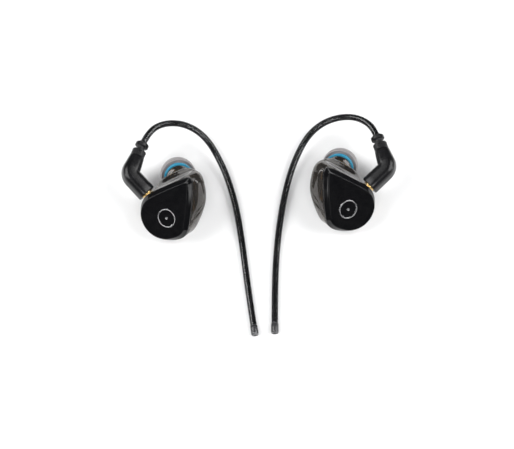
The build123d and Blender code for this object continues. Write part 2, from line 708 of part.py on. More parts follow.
def make_relief(swivel):
    """Strain relief: stub in the housing, slotted collar, neck, disc and tapered end."""
    collar_top = RELIEF_COLLAR_LENGTH
    disc_base = collar_top + RELIEF_NECK_LENGTH
    disc_top = disc_base + RELIEF_DISC_LENGTH
    with BuildPart() as relief:
        with BuildSketch(upper_plane(swivel, -RELIEF_STUB_LENGTH)):
            Circle(RELIEF_STUB_RADIUS)
        extrude(amount=RELIEF_STUB_LENGTH)
        with BuildSketch(upper_plane(swivel)):
            Circle(RELIEF_COLLAR_RADIUS)
        extrude(amount=RELIEF_COLLAR_LENGTH)
        with BuildSketch(upper_plane(swivel, RELIEF_SLOT_MARGIN)):
            with PolarLocations(RELIEF_COLLAR_RADIUS, RELIEF_SLOTS):
                Rectangle(2 * RELIEF_SLOT_DEPTH, RELIEF_SLOT_WIDTH)
        extrude(amount=RELIEF_COLLAR_LENGTH - 2 * RELIEF_SLOT_MARGIN, mode=Mode.SUBTRACT)
        with BuildSketch(upper_plane(swivel, collar_top)):
            Circle(RELIEF_NECK_RADIUS)
        extrude(amount=RELIEF_NECK_LENGTH)
        with BuildSketch(upper_plane(swivel, disc_base)):
            Circle(RELIEF_DISC_RADIUS)
        extrude(amount=RELIEF_DISC_LENGTH)
        with BuildSketch(upper_plane(swivel, disc_top)):
            Circle(RELIEF_END_RADIUS)
        extrude(amount=RELIEF_END_LENGTH)
        with BuildSketch(upper_plane(swivel, -2 * RELIEF_STUB_LENGTH)):
            Circle(cable_radius())
        extrude(amount=4 * RELIEF_STUB_LENGTH + disc_top, mode=Mode.SUBTRACT)
        with BuildSketch(upper_plane(swivel, disc_base)):
            Circle(SLEEVE_RADIUS)
        extrude(amount=4 * RELIEF_DISC_LENGTH, mode=Mode.SUBTRACT)
    return relief.part


# ---------------------------------------------------------------- ear hook
def cable_radius():
    return SLEEVE_RADIUS - SLEEVE_WALL - CABLE_CLEARANCE


def relief_end():
    """Distance from the housing's end to where the sleeve starts inside the strain relief."""
    return RELIEF_COLLAR_LENGTH + RELIEF_NECK_LENGTH


def route_radii(points):
    """One radius per corner: a share of the shorter run, over the tangent of half the turn."""
    radii = []
    for before, corner, after in zip(points, points[1:], points[2:]):
        arriving, leaving = corner - before, after - corner
        turn = math.radians(arriving.get_angle(leaving))
        radii.append(ARC_SHARE * min(arriving.length, leaving.length) / math.tan(turn / 2))
    return radii


def make_tube(points, outer, inner):
    """A tube of straight runs and tangent arcs through a route."""
    start = Plane(origin=points[0], z_dir=points[1] - points[0])
    with BuildPart() as tube:
        with BuildLine():
            FilletPolyline(*points, radius=route_radii(points))
        with BuildSketch(start):
            Circle(outer)
            if inner:
                Circle(inner, mode=Mode.SUBTRACT)
        sweep()
    return tube.part


def make_end_collar(last, before):
    """Clear collar over the end of the sleeve."""
    out = (last - before).normalized()
    back = last - out * (COLLAR_LENGTH - COLLAR_FLOOR)
    with BuildPart() as collar:
        with BuildSketch(Plane(origin=back, z_dir=out)):
            Circle(SLEEVE_RADIUS + COLLAR_WALL)
        extrude(amount=COLLAR_LENGTH)
        fillet(collar.edges().filter_by(GeomType.CIRCLE), COLLAR_ROUNDING)
        with BuildSketch(Plane(origin=back, z_dir=out)):
            Circle(SLEEVE_RADIUS)
        extrude(amount=COLLAR_LENGTH - COLLAR_FLOOR, mode=Mode.SUBTRACT)
    return collar.part


# ---------------------------------------------------------------- inside the shell
def driver_plane(depth):
    x, y = DRIVER_CENTRE
    return Plane(origin=(x, y, -DRIVER_TOP - depth), x_dir=(1, 0, 0), z_dir=(0, 0, -1))


def make_basket():
    """Pressed can of the moving-coil driver, with a perforated grille in front."""
    with BuildPart() as basket:
        with BuildSketch(driver_plane(0)):
            Circle(DRIVER_RADIUS)
        extrude(amount=DRIVER_HEIGHT)
        with BuildSketch(driver_plane(DRIVER_BACK)):
            Circle(DRIVER_RADIUS - DRIVER_WALL)
        extrude(amount=DRIVER_HEIGHT - DRIVER_BACK - GRILLE_THICKNESS, mode=Mode.SUBTRACT)
        with BuildSketch(driver_plane(DRIVER_HEIGHT - 2 * GRILLE_THICKNESS)):
            with PolarLocations(DRIVER_RADIUS / 2, GRILLE_HOLES):
                Circle(GRILLE_HOLE_RADIUS)
        extrude(amount=4 * GRILLE_THICKNESS, mode=Mode.SUBTRACT)
    return basket.part


def make_magnet():
    """Pole piece in the middle and ring magnet round it, on one back plate."""
    with BuildPart() as magnet:
        with BuildSketch(driver_plane(DRIVER_BACK)):
            Circle(MAGNET_OUTER_RADIUS)
        extrude(amount=MAGNET_PLATE)
        with BuildSketch(driver_plane(DRIVER_BACK + MAGNET_PLATE)):
            Circle(MAGNET_OUTER_RADIUS)
            Circle(MAGNET_INNER_RADIUS, mode=Mode.SUBTRACT)
            Circle(POLE_RADIUS)
        extrude(amount=MAGNET_HEIGHT)
    return magnet.part


def make_diaphragm():
    """Domed diaphragm with its voice coil hanging in the magnet's gap."""
    coil_back = DRIVER_BACK + MAGNET_PLATE + COIL_GAP
    with BuildPart() as diaphragm:
        with BuildSketch(driver_plane(DIAPHRAGM_DEPTH)):
            Circle(DIAPHRAGM_RADIUS)
        extrude(amount=DIAPHRAGM_THICKNESS)
        with BuildSketch(driver_plane(coil_back)):
            Circle(COIL_RADIUS + COIL_WALL)
            Circle(COIL_RADIUS, mode=Mode.SUBTRACT)
        extrude(amount=DIAPHRAGM_DEPTH - coil_back)
    return diaphragm.part


def cased_plane(centre, turn, along=0.0):
    """Plane across a balanced-armature case, facing out of its spouted end."""
    angle = math.radians(turn)
    out = Vector(-math.sin(angle), math.cos(angle))
    return Plane(origin=Vector(*centre) + out * along, x_dir=(math.cos(angle), math.sin(angle)), z_dir=out)


def make_armature_driver(size, centre, turn):
    """Rounded metal case with a sound spout at one end."""
    width, length, height = size
    with BuildPart() as driver:
        with BuildSketch(cased_plane(centre, turn, -length / 2)):
            Rectangle(width, height)
        extrude(amount=length)
        fillet(driver.edges(), CASE_ROUNDING)
        with BuildSketch(cased_plane(centre, turn, length / 2)):
            Circle(SPOUT_RADIUS)
        extrude(amount=SPOUT_LENGTH)
    return driver.part


def make_sound_tube(centre, length, turn, first_run, side):
    """Clear tube from a case's spout down into the nozzle."""
    spout = cased_plane(centre, turn, length / 2)
    lane = nozzle_plane().y_dir * (side * TUBE_SPACING)
    inside = nozzle_plane(-TUBE_DROP).origin + lane
    bend = cased_plane(centre, turn, length / 2 + first_run)
    mouth = nozzle_plane(TUBE_END).origin + lane
    points = [spout.origin, bend.origin, inside, mouth]
    return make_tube(points, TUBE_RADIUS, TUBE_BORE_RADIUS)


def board_plane():
    return Plane(origin=BOARD_CENTRE, x_dir=Vector(1, 0).rotate(Axis.Z, BOARD_TURN), z_dir=(0, 0, 1))


def make_board():
    """Crossover board with three small parts on it."""
    width, depth, thickness = BOARD_SIZE
    with BuildPart() as board:
        with BuildSketch(board_plane()):
            Rectangle(width, depth)
        extrude(amount=thickness)
        with BuildSketch(board_plane().offset(thickness)):
            with GridLocations(width / 3.2, 0, 3, 1):
                Rectangle(CHIP_SIZE[1], CHIP_SIZE[0])
        extrude(amount=CHIP_SIZE[2])
    return board.part


def make_wires():
    """Enamelled wires between the socket, the board and the drivers."""
    with BuildPart() as wires:
        for points in WIRES:
            with BuildLine():
                FilletPolyline(*points, radius=WIRE_BEND)
            with BuildSketch(Plane(origin=points[0], z_dir=Vector(*points[1]) - Vector(*points[0]))):
                Circle(WIRE_RADIUS)
            sweep()
    return wires.part


# ---------------------------------------------------------------- both sides, set on the table
def laid(shape, side):
    """A left-hand piece of the monitor frame, moved to where this side lies."""
    lying = Rot(LEAN, 0, 0) * Rot(0, CANT, 0) * shape
    lying = Rot(0, 0, side["spin"]) * lying
    if side["mirrored"]:
        lying = mirror(lying, about=Plane.YZ)
    x, y = side["place"]
    return Pos(x, y, REST_HEIGHT) * lying


def laid_point(point, side):
    """Where a point of the monitor frame ends up."""
    return laid(Vertex(*point), side).vertices()[0].center()


def hook_route(name, side):
    """Points of one ear hook, from inside its strain relief to its free end."""
    swivel = side["swivel"]
    start = laid_point(upper_plane(swivel, relief_end()).origin, side)
    straight = laid_point(upper_plane(swivel, relief_end() + FIRST_RUN).origin, side)
    return [start, straight, *[Vector(*point) for point in HOOK_ROUTES[name]]]


def build_side(name, side):
    """Builds, places and exports every piece of one side."""
    swivel = side["swivel"]
    mid_height = MID_DRIVER_CENTRE[2]
    mid_tube = make_sound_tube(
        MID_DRIVER_CENTRE, MID_DRIVER_SIZE[1], MID_DRIVER_TURN, MID_TUBE_RUN, MID_TUBE_SIDE
    )
    high_tube = make_sound_tube(
        HIGH_DRIVER_CENTRE, HIGH_DRIVER_SIZE[1], HIGH_DRIVER_TURN, HIGH_TUBE_RUN, -MID_TUBE_SIDE
    )
    pieces = {
        "shell": make_shell(),
        "faceplate": make_faceplate(),
        "emblem": make_emblem(),
        "vent": make_vent(),
        "nozzle": make_nozzle(),
        "screen": make_screen(),
        "eartip_core": make_core(),
        "eartip_flange": make_flange(),
        "socket_barrel": make_socket_barrel(),
        "socket_insulator": make_socket_insulator(),
        "socket_contact": make_contact(),
        "plug_barrel": make_plug_barrel(),
        "plug_snap_ring": make_snap_ring(),
        "plug_insulator": make_plug_insulator(),
        "plug_pin": make_pin(),
        "plug_housing": make_housing(swivel),
        "strain_relief": make_relief(swivel),
        "driver_basket": make_basket(),
        "driver_magnet": make_magnet(),
        "driver_diaphragm": make_diaphragm(),
        "mid_driver": make_armature_driver(MID_DRIVER_SIZE, MID_DRIVER_CENTRE, MID_DRIVER_TURN),
        "high_driver": make_armature_driver(HIGH_DRIVER_SIZE, HIGH_DRIVER_CENTRE, HIGH_DRIVER_TURN),
        "mid_sound_tube": mid_tube,
        "high_sound_tube": high_tube,
        "crossover_board": make_board(),
        "wires": make_wires(),
    }
    placed = {piece: laid(shape, side) for piece, shape in pieces.items()}
    route = hook_route(name, side)
    placed["hook_sleeve"] = make_tube(route, SLEEVE_RADIUS, SLEEVE_RADIUS - SLEEVE_WALL)
    placed["hook_cable"] = make_tube(route, cable_radius(), 0)
    placed["hook_end_collar"] = make_end_collar(route[-1], route[-2])
    for piece, shape in placed.items():
        shape.label = f"{name}_{piece}"
        export_step(shape, f"parts/{name}_{piece}.step")
    print(name, "route", [tuple(round(v, 2) for v in point) for point in route])
    print(name, "radii", [round(radius, 2) for radius in route_radii(route)])


if __name__ == "__main__":
    os.makedirs("parts", exist_ok=True)
    for side_name, side_sizes in SIDES.items():
        build_side(side_name, side_sizes)
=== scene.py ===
"""A pair of over-ear in-ear monitors, lying on a pale table with their faceplates up.

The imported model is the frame: metres, +Z up from the table, +X from the left monitor to the
right one.  Pieces are shaped in millimetres as left-hand pieces, in the monitor's own frame
(+Z out of the faceplate), the nozzle's or the socket's, and then laid where their side lies.
"""

import logging
import math
from dataclasses import dataclass
from enum import Enum
from typing import Sequence

import bmesh
import bpy
from mathutils import Matrix, Vector


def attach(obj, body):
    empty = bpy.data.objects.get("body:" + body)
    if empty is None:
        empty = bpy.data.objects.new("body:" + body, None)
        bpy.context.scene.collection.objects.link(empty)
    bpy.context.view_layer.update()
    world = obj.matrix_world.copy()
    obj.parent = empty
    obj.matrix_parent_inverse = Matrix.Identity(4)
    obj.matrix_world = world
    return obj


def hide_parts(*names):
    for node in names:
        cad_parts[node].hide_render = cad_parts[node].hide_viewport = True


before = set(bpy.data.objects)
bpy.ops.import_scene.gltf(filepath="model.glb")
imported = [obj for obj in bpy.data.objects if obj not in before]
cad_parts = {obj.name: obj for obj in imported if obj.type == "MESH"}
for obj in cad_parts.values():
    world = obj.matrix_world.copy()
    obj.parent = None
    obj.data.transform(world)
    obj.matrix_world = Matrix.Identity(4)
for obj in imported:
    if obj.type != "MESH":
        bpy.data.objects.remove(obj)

LOG = logging.getLogger("monitors")
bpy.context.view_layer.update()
MM = 0.001
RING_POINTS = 120
OUTLINE_SAMPLES = 1440
OUTLINE_START = 225.0  # degrees, where each ring of points starts
LOBE_SOFTNESS = 0.45
FINE_TURN = 96  # faces round the turned pieces that are seen closest

Colour = tuple[float, float, float]
Lobe = tuple[float, float, float]
Ring = list[Vector]

# Circles (x, y, radius) whose smooth hull is the shell's outline at three depths.
FACE_LOBES: dict[str, Lobe] = {
    "belly": (-0.7, -0.6, 8.0), "heel": (4.1, -3.6, 4.0), "flank": (4.5, 4.4, 4.45),
    "tip": (8.45, 12.35, 1.3), "gland": (-3.7, 2.0, 4.15),
}
BULGE_LOBES: dict[str, Lobe] = {
    "belly": (-0.5, -0.5, 8.0), "heel": (4.6, -2.6, 4.3), "flank": (6.6, 5.2, 5.3),
    "tip": (8.1, 11.2, 3.1), "gland": (-4.0, 1.8, 4.1),
}
CONCHA_LOBES: dict[str, Lobe] = {
    "belly": (0.4, 1.6, 6.9), "heel": (4.0, 1.2, 4.8), "flank": (5.4, 5.8, 4.8),
    "tip": (5.0, 9.8, 4.1), "gland": (-2.0, 5.0, 4.7),
}
# The snout's end and the plug's seat in the monitor's frame: millimetres and degrees.
NOZZLE_ROOT = Vector((-0.65, 8.65, -11.0))
NOZZLE_TILT = 33.5
NOZZLE_HEADING = 183.0
SOCKET_HEADING = 138.8
SOCKET_SEAT = 7.9
SOCKET_OFFSET = 1.8
SOCKET_DEPTH = 2.9
PLUG_SWIVEL = 55.0

# The faceplate's (height, inset), from its spigot past the upright edge and the bevel.
LID_EDGE: tuple[tuple[float, float], ...] = (
    (-0.9, 1.15), (0.02, 1.12),
    (0.02, 0.10), (0.05, 0.03), (0.11, 0.0), (0.56, 0.0), (0.65, 0.02), (0.72, 0.07), (0.78, 0.14),
    (1.22, 0.62), (1.66, 1.10), (1.73, 1.19), (1.78, 1.29), (1.81, 1.42),
)
# The faceplate's crown: the share of its rim's size, and the height there.
LID_CROWN: tuple[tuple[float, float], ...] = (
    (0.985, 1.817), (0.94, 1.824), (0.85, 1.832), (0.7, 1.84), (0.45, 1.847), (0.2, 1.85),
)
# The strain relief's (radius, height): stub, collar, neck, disc, tapered end and bore.
RELIEF_PROFILE: tuple[tuple[float, float], ...] = (
    (0.84, -1.9), (1.5, -1.9), (1.5, 0.02),
    (2.15, 0.02), (2.3, 0.2), (2.3, 0.55), (2.3, 1.75), (2.3, 2.1), (2.15, 2.28),
    (1.45, 2.3), (1.32, 2.5), (1.3, 3.5), (1.45, 3.7),
    (2.0, 3.72), (2.15, 3.9), (2.15, 4.8), (2.0, 4.98),
    (1.55, 5.0), (1.4, 5.15), (1.25, 5.7), (1.12, 5.7), (1.12, 3.8), (0.84, 3.7),
)

# The ear hooks' routes, from inside the strain relief to the free end.
HOOK_ROUTES: dict[str, list[tuple[float, float, float]]] = {
    "left": [
        (-0.03799, 0.01285, 0.01082), (-0.03676, 0.01613, 0.01082), (-0.0339, 0.0204, 0.0102),
        (-0.0298, 0.0224, 0.0094), (-0.0249, 0.0227, 0.0083), (-0.0203, 0.0211, 0.0069),
        (-0.0166, 0.0181, 0.0053), (-0.0136, 0.0136, 0.0036), (-0.0104, 0.0069, 0.0021),
        (-0.0073, -0.0040, 0.0013), (-0.0052, -0.0181, 0.0012), (-0.0034, -0.0336, 0.0012),
        (-0.0013, -0.0481, 0.0012),
    ],
    "right": [
        (0.03853, 0.01541, 0.01082), (0.0375, 0.01875, 0.01082), (0.0354, 0.0220, 0.0103),
        (0.0314, 0.0245, 0.0095), (0.0264, 0.0251, 0.0084), (0.0213, 0.0240, 0.0069),
        (0.0170, 0.0211, 0.0054), (0.0138, 0.0168, 0.0037), (0.0104, 0.0089, 0.0021),
        (0.0077, -0.0026, 0.0013), (0.0058, -0.0170, 0.0012), (0.0050, -0.0326, 0.0012),
        (0.0050, -0.0474, 0.0012),
    ],
}


class Side(Enum):
    """Which of the pair a piece belongs to."""

    LEFT = "left"
    RIGHT = "right"


class Pattern(Enum):
    """What a finish shows up close."""

    GRAIN = "grain"
    BRUSHED = "brushed"
    TWIST = "twist"
    WEAVE = "weave"
    BOARD = "board"


# ------------------------------------------------------------------ node wiring and finishes
class Wiring:
    """Adds and joins the nodes of one node tree."""

    def __init__(self, tree: bpy.types.NodeTree) -> None:
        """Takes the tree to work on."""
        self.tree = tree

    def node(self, kind: str, **settings: object) -> bpy.types.Node:
        """Adds a node.

        Args:
            kind: Blender's name for the node.
            settings: Properties of the node and their values.

        Returns:
            The new node.
        """
        node = self.tree.nodes.new(kind)
        for key, value in settings.items():
            setattr(node, key, value)
        return node

    def feed(self, socket: bpy.types.NodeSocket, value: object) -> None:
        """Links a socket into another, or sets its value.

        Args:
            socket: The input.
            value: A socket, or what the input is set to.
        """
        if isinstance(value, bpy.types.NodeSocket):
            self.tree.links.new(value, socket)
        else:
            socket.default_value = value

    def maths(self, operation: str, *values: object) -> bpy.types.NodeSocket:
        """Does one sum.

        Args:
            operation: What the Math node does.
            values: Sockets or numbers for its inputs.

        Returns:
            The result's socket.
        """
        node = self.node("ShaderNodeMath", operation=operation)
        for socket, value in zip(node.inputs, values):
            self.feed(socket, value)
        return node.outputs[0]

    def noise(self, vector: object, scale: object, detail: float = 3.0) -> bpy.types.NodeSocket:
        """Adds a noise texture.

        Args:
            vector: Coordinates socket.
            scale: Features per metre, a socket or a number.
            detail: Octaves.

        Returns:
            The noise's value, 0 to 1.
        """
        node = self.node("ShaderNodeTexNoise")
        self.feed(node.inputs["Vector"], vector)
        self.feed(node.inputs["Scale"], scale)
        node.inputs["Detail"].default_value = detail
        return node.outputs["Fac"]

    def stretched(
        self, vector: object, scale: Colour, turn: Colour = (0, 0, 0)
    ) -> bpy.types.NodeSocket:
        """Stretches and turns coordinates.

        Args:
            vector: Coordinates socket.
            scale: Factor along each axis.
            turn: Turn about each axis, in radians.

        Returns:
            The new coordinates' socket.
        """
        node = self.node("ShaderNodeMapping")
        self.feed(node.inputs["Vector"], vector)
        node.inputs["Scale"].default_value = scale
        node.inputs["Rotation"].default_value = turn
        return node.outputs["Vector"]

    def ramp(self, value: object, stops: Sequence[tuple[float, Colour]]) -> bpy.types.NodeSocket:
        """Turns a value into a colour.

        Args:
            value: Socket, 0 to 1.
            stops: Positions and their colours.

        Returns:
            The colour's socket.
        """
        node = self.node("ShaderNodeValToRGB")
        elements = node.color_ramp.elements
        for index, (place, colour) in enumerate(stops):
            element = elements[index] if index < 2 else elements.new(place)
            element.position = place
            element.color = (*colour, 1.0)
        self.feed(node.inputs["Fac"], value)
        return node.outputs["Color"]

    def effect(
        self, group: bpy.types.NodeTree, coords: object, **values: float
    ) -> bpy.types.Node:
        """Places a shared effect.

        Args:
            group: The effect's node group.
            coords: Coordinates socket.
            values: Its other inputs.

        Returns:
            The group's node.
        """
        node = self.node("ShaderNodeGroup", node_tree=group)
        self.feed(node.inputs["Vector"], coords)
        for label, value in values.items():
            node.inputs[label].default_value = value
        return node


class SharedEffects:
    """The node groups that several finishes place with their own values."""

    def __init__(self) -> None:
        """Builds each group once."""
        self.grain = self._grain()
        self.handling = self._handling()
        self.hairlines = self._hairlines()

    @staticmethod
    def _group(
        name: str, inputs: dict[str, float], outputs: Sequence[str]
    ) -> tuple[Wiring, object, object]:
        """Starts a group.

        Args:
            name: The group's name.
            inputs: Float inputs and their defaults, after Vector.
            outputs: Names of its float outputs.

        Returns:
            The group's wiring, the sockets that give its inputs, and those that take its results.
        """
        tree = bpy.data.node_groups.new(name, "ShaderNodeTree")
        tree.interface.new_socket("Vector", in_out="INPUT", socket_type="NodeSocketVector")
        for label, default in inputs.items():
            socket = tree.interface.new_socket(label, in_out="INPUT", socket_type="NodeSocketFloat")
            socket.default_value = default
        for label in outputs:
            tree.interface.new_socket(label, in_out="OUTPUT", socket_type="NodeSocketFloat")
        wiring = Wiring(tree)
        given = wiring.node("NodeGroupInput").outputs
        return wiring, given, wiring.node("NodeGroupOutput").inputs

    def _grain(self) -> bpy.types.NodeTree:
        """Two sizes of fine grain: a roughness that varies, and a height.

        Returns:
            The group.
        """
        inputs = {"Scale": 3000.0, "Roughness": 0.3, "Spread": 0.1}
        wiring, given, result = self._group("fine_grain", inputs, ("Roughness", "Height"))
        fine = wiring.noise(given["Vector"], given["Scale"], detail=4.0)
        broad_scale = wiring.maths("MULTIPLY", given["Scale"], 0.17)
        broad = wiring.noise(given["Vector"], broad_scale, detail=2.0)
        fine_share = wiring.maths("MULTIPLY", fine, 0.55)
        both = wiring.maths("ADD", fine_share, wiring.maths("MULTIPLY", broad, 0.45))
        offset = wiring.maths("MULTIPLY", wiring.maths("SUBTRACT", both, 0.5), given["Spread"])
        wiring.feed(result["Roughness"], wiring.maths("ADD", given["Roughness"], offset))
        wiring.feed(result["Height"], both)
        return wiring.tree

    def _handling(self) -> bpy.types.NodeTree:
        """Faint smears that fingers leave on gloss, as a mask.

        Returns:
            The group.
        """
        inputs = {"Scale": 220.0, "Amount": 0.5}
        wiring, given, result = self._group("handling_smears", inputs, ("Mask",))
        wiped = wiring.stretched(given["Vector"], (1.0, 2.4, 1.0), (0.0, 0.0, 0.6))
        warp = wiring.noise(wiped, given["Scale"])
        mask = wiring.node("ShaderNodeMapRange", interpolation_type="SMOOTHSTEP")
        wiring.feed(mask.inputs["Value"], warp)
        mask.inputs["From Min"].default_value = 0.47
        mask.inputs["From Max"].default_value = 0.72
        strength = wiring.maths("MULTIPLY", mask.outputs["Result"], given["Amount"])
        wiring.feed(result["Mask"], strength)
        return wiring.tree

    def _hairlines(self) -> bpy.types.NodeTree:
        """Fine parallel scratches in two directions, as a mask.

        Returns:
            The group.
        """
        inputs = {"Scale": 900.0, "Amount": 0.5}
        wiring, given, result = self._group("hairlines", inputs, ("Mask",))
        lines = []
        for turn in (0.5, 2.1):
            drawn = wiring.stretched(given["Vector"], (1.0, 22.0, 22.0), (turn, 0.3, turn))
            noise = wiring.noise(drawn, given["Scale"], detail=1.0)
            lines.append(wiring.maths("GREATER_THAN", noise, 0.69))
        mask = wiring.maths("MAXIMUM", *lines)
        wiring.feed(result["Mask"], wiring.maths("MULTIPLY", mask, given["Amount"]))
        return wiring.tree


@dataclass(frozen=True)
class Finish:
    """One surface finish: its colours, gloss and what it shows up close."""

    name: str
    colour: Colour
    tint: Colour
    roughness: float
    spread: float = 0.08
    metallic: float = 0.0
    transmission: float = 0.0
    ior: float = 1.5
    coat: float = 0.0
    coat_roughness: float = 0.05
    subsurface: float = 0.0
    subsurface_radius: float = 0.8
    sheen: float = 0.0
    specular: float = 0.5
    grain_scale: float = 3000.0
    grain_depth: float = 0.004
    mottle_scale: float = 500.0
    smears: float = 0.0
    scratches: float = 0.0
    pattern: Pattern = Pattern.GRAIN

    def _detail(self, wiring: Wiring, coords: object, grain: object) -> tuple[object, object]:
        """What the finish's pattern shows.

        Args:
            wiring: Joins the material's nodes.
            coords: Object coordinates.
            grain: The grain's height.

        Returns:
            A mask for the colour and a height for the bump.
        """
        mottle = wiring.noise(coords, self.mottle_scale)
        if self.pattern is Pattern.BRUSHED:
            drawn = wiring.stretched(coords, (1.0, 1.0, 26.0), (0.6, 0.4, 0.0))
            lines = wiring.noise(drawn, self.grain_scale * 0.4, detail=2.0)
            return wiring.maths("MULTIPLY", wiring.maths("ADD", mottle, lines), 0.5), lines
        if self.pattern in (Pattern.TWIST, Pattern.WEAVE):
            threads = []
            turns = [(0.4, 0.3, 0.8)]
            if self.pattern is Pattern.WEAVE:
                turns = [(0.4, 0.0, 0.8), (0.4, 0.0, -0.8)]
            for turn in turns:
                wave = wiring.node("ShaderNodeTexWave", wave_type="BANDS", bands_direction="X")
                wiring.feed(wave.inputs["Vector"], wiring.stretched(coords, (1.0, 1.0, 1.0), turn))
                wave.inputs["Scale"].default_value = self.grain_scale * 0.3
                wave.inputs["Distortion"].default_value = 0.6
                threads.append(wave.outputs["Fac"])
            height = wiring.maths("MAXIMUM", *threads) if len(threads) > 1 else threads[0]
            return wiring.maths("MULTIPLY", wiring.maths("ADD", mottle, height), 0.5), height
        if self.pattern is Pattern.BOARD:
            cells = wiring.node("ShaderNodeTexVoronoi", feature="DISTANCE_TO_EDGE")
            wiring.feed(cells.inputs["Vector"], coords)
            cells.inputs["Scale"].default_value = 1400.0
            tracks = wiring.maths("LESS_THAN", cells.outputs["Distance"], 0.07)
            raised = wiring.maths("MULTIPLY", tracks, 0.6)
            return tracks, wiring.maths("ADD", raised, wiring.maths("MULTIPLY", grain, 0.2))
        return mottle, grain

    def material(self, effects: SharedEffects) -> bpy.types.Material:
        """Makes the finish as a material, or gives the one already made.

        Args:
            effects: The shared node groups.

        Returns:
            The material.
        """
        made = bpy.data.materials.get(self.name)
        if made is not None:
            return made
        material = bpy.data.materials.new(self.name)
        material.use_nodes = True
        material.node_tree.nodes.clear()
        wiring = Wiring(material.node_tree)
        shader = wiring.node("ShaderNodeBsdfPrincipled")
        surface = wiring.node("ShaderNodeOutputMaterial")
        wiring.feed(surface.inputs["Surface"], shader.outputs["BSDF"])
        coords = wiring.node("ShaderNodeTexCoord").outputs["Object"]
        grain = wiring.effect(effects.grain, coords, Scale=self.grain_scale,
                              Roughness=self.roughness, Spread=self.spread)
        mask, height = self._detail(wiring, coords, grain.outputs["Height"])
        stops = ((0.3, self.colour), (0.72, self.tint))
        wiring.feed(shader.inputs["Base Color"], wiring.ramp(mask, stops))
        roughness = grain.outputs["Roughness"]
        if self.smears:
            smears = wiring.effect(effects.handling, coords, Amount=self.smears)
            roughness = wiring.maths("ADD", roughness, smears.outputs["Mask"])
        if self.scratches:
            marks = wiring.effect(effects.hairlines, coords, Amount=self.scratches)
            roughness = wiring.maths("ADD", roughness, marks.outputs["Mask"])
        wiring.feed(shader.inputs["Roughness"], roughness)
        bump = wiring.node("ShaderNodeBump")
        bump.inputs["Strength"].default_value = 0.6
        bump.inputs["Distance"].default_value = self.grain_depth * MM
        wiring.feed(bump.inputs["Height"], height)
        wiring.feed(shader.inputs["Normal"], bump.outputs["Normal"])
        for label, value in (
            ("Metallic", self.metallic), ("Transmission Weight", self.transmission),
            ("IOR", self.ior), ("Coat Weight", self.coat), ("Coat Roughness", self.coat_roughness),
            ("Subsurface Weight", self.subsurface), ("Sheen Weight", self.sheen),
            ("Specular IOR Level", self.specular),
        ):
            shader.inputs[label].default_value = value
        shader.inputs["Subsurface Radius"].default_value = (1.0, 0.8, 0.7)
        shader.inputs["Subsurface Scale"].default_value = self.subsurface_radius * MM
        return material


SMOKE_RESIN = Finish("smoke_resin_look", (0.15, 0.138, 0.127), (0.215, 0.198, 0.182), 0.05, 0.03,
                     transmission=0.92, ior=1.48, coat=0.2, grain_scale=900, grain_depth=0.002,
                     mottle_scale=180, smears=0.06)
BLACK_GLOSS = Finish("black_gloss_look", (0.0025, 0.0025, 0.003), (0.005, 0.005, 0.0055), 0.07, 0.03,
                     specular=0.42, grain_scale=1500, grain_depth=0.0008,
                     smears=0.07, scratches=0.05)
SILVER = Finish("silver_inlay_look", (0.70, 0.70, 0.71), (0.84, 0.84, 0.85), 0.24, 0.1, metallic=1.0,
                grain_scale=6000, grain_depth=0.0015, pattern=Pattern.BRUSHED)
GOLD = Finish("gold_plate_look", (0.83, 0.57, 0.22), (0.93, 0.70, 0.33), 0.22, 0.12, metallic=1.0,
              grain_scale=5000, grain_depth=0.002, scratches=0.08, pattern=Pattern.BRUSHED)
BRASS = Finish("nozzle_brass_look", (0.72, 0.50, 0.19), (0.86, 0.64, 0.30), 0.27, 0.12, metallic=1.0,
               grain_scale=5000, grain_depth=0.002, pattern=Pattern.BRUSHED)
STEEL_MESH = Finish("steel_mesh_look", (0.10, 0.10, 0.10), (0.62, 0.62, 0.63), 0.35, 0.1,
                    metallic=1.0, grain_scale=9000, grain_depth=0.03, pattern=Pattern.WEAVE)
BLUE_SILICONE = Finish("blue_silicone_look", (0.006, 0.19, 0.32), (0.011, 0.24, 0.39), 0.38, 0.1,
                       subsurface=0.3, grain_scale=2600, grain_depth=0.004, sheen=0.1)
GREY_SILICONE = Finish("grey_silicone_look", (0.24, 0.225, 0.228), (0.31, 0.29, 0.293), 0.36, 0.1,
                       transmission=0.1, ior=1.41, subsurface=0.3, subsurface_radius=1.0,
                       sheen=0.1, grain_scale=2200, grain_depth=0.004, smears=0.1)
WHITE_PLASTIC = Finish("insulator_look", (0.72, 0.72, 0.70), (0.80, 0.80, 0.78), 0.4, 0.1)
BLACK_SATIN = Finish("black_satin_look", (0.0045, 0.0045, 0.005), (0.009, 0.009, 0.010), 0.24, 0.08,
                     specular=0.26, coat=0.08, coat_roughness=0.2, grain_scale=3500, grain_depth=0.005,
                     scratches=0.05)
BLACK_RUBBER = Finish("black_rubber_look", (0.006, 0.006, 0.0065), (0.012, 0.012, 0.013), 0.46, 0.12,
                      specular=0.35, grain_scale=4200, grain_depth=0.008)
DRIVER_STEEL = Finish("driver_steel_look", (0.44, 0.42, 0.40), (0.60, 0.58, 0.55), 0.3, 0.12,
                      metallic=1.0, grain_scale=4000, grain_depth=0.003, pattern=Pattern.BRUSHED)
MAGNET_GREY = Finish("magnet_look", (0.16, 0.16, 0.17), (0.24, 0.24, 0.25), 0.42, 0.12,
                     metallic=0.8)
FILM = Finish("diaphragm_look", (0.38, 0.30, 0.17), (0.52, 0.42, 0.25), 0.25, 0.1, coat=0.3,
              grain_scale=1400, grain_depth=0.02)
ARMATURE_GOLD = Finish("armature_look", (0.62, 0.40, 0.17), (0.82, 0.58, 0.28), 0.3, 0.12,
                       metallic=1.0, grain_scale=4500, grain_depth=0.003, pattern=Pattern.BRUSHED)
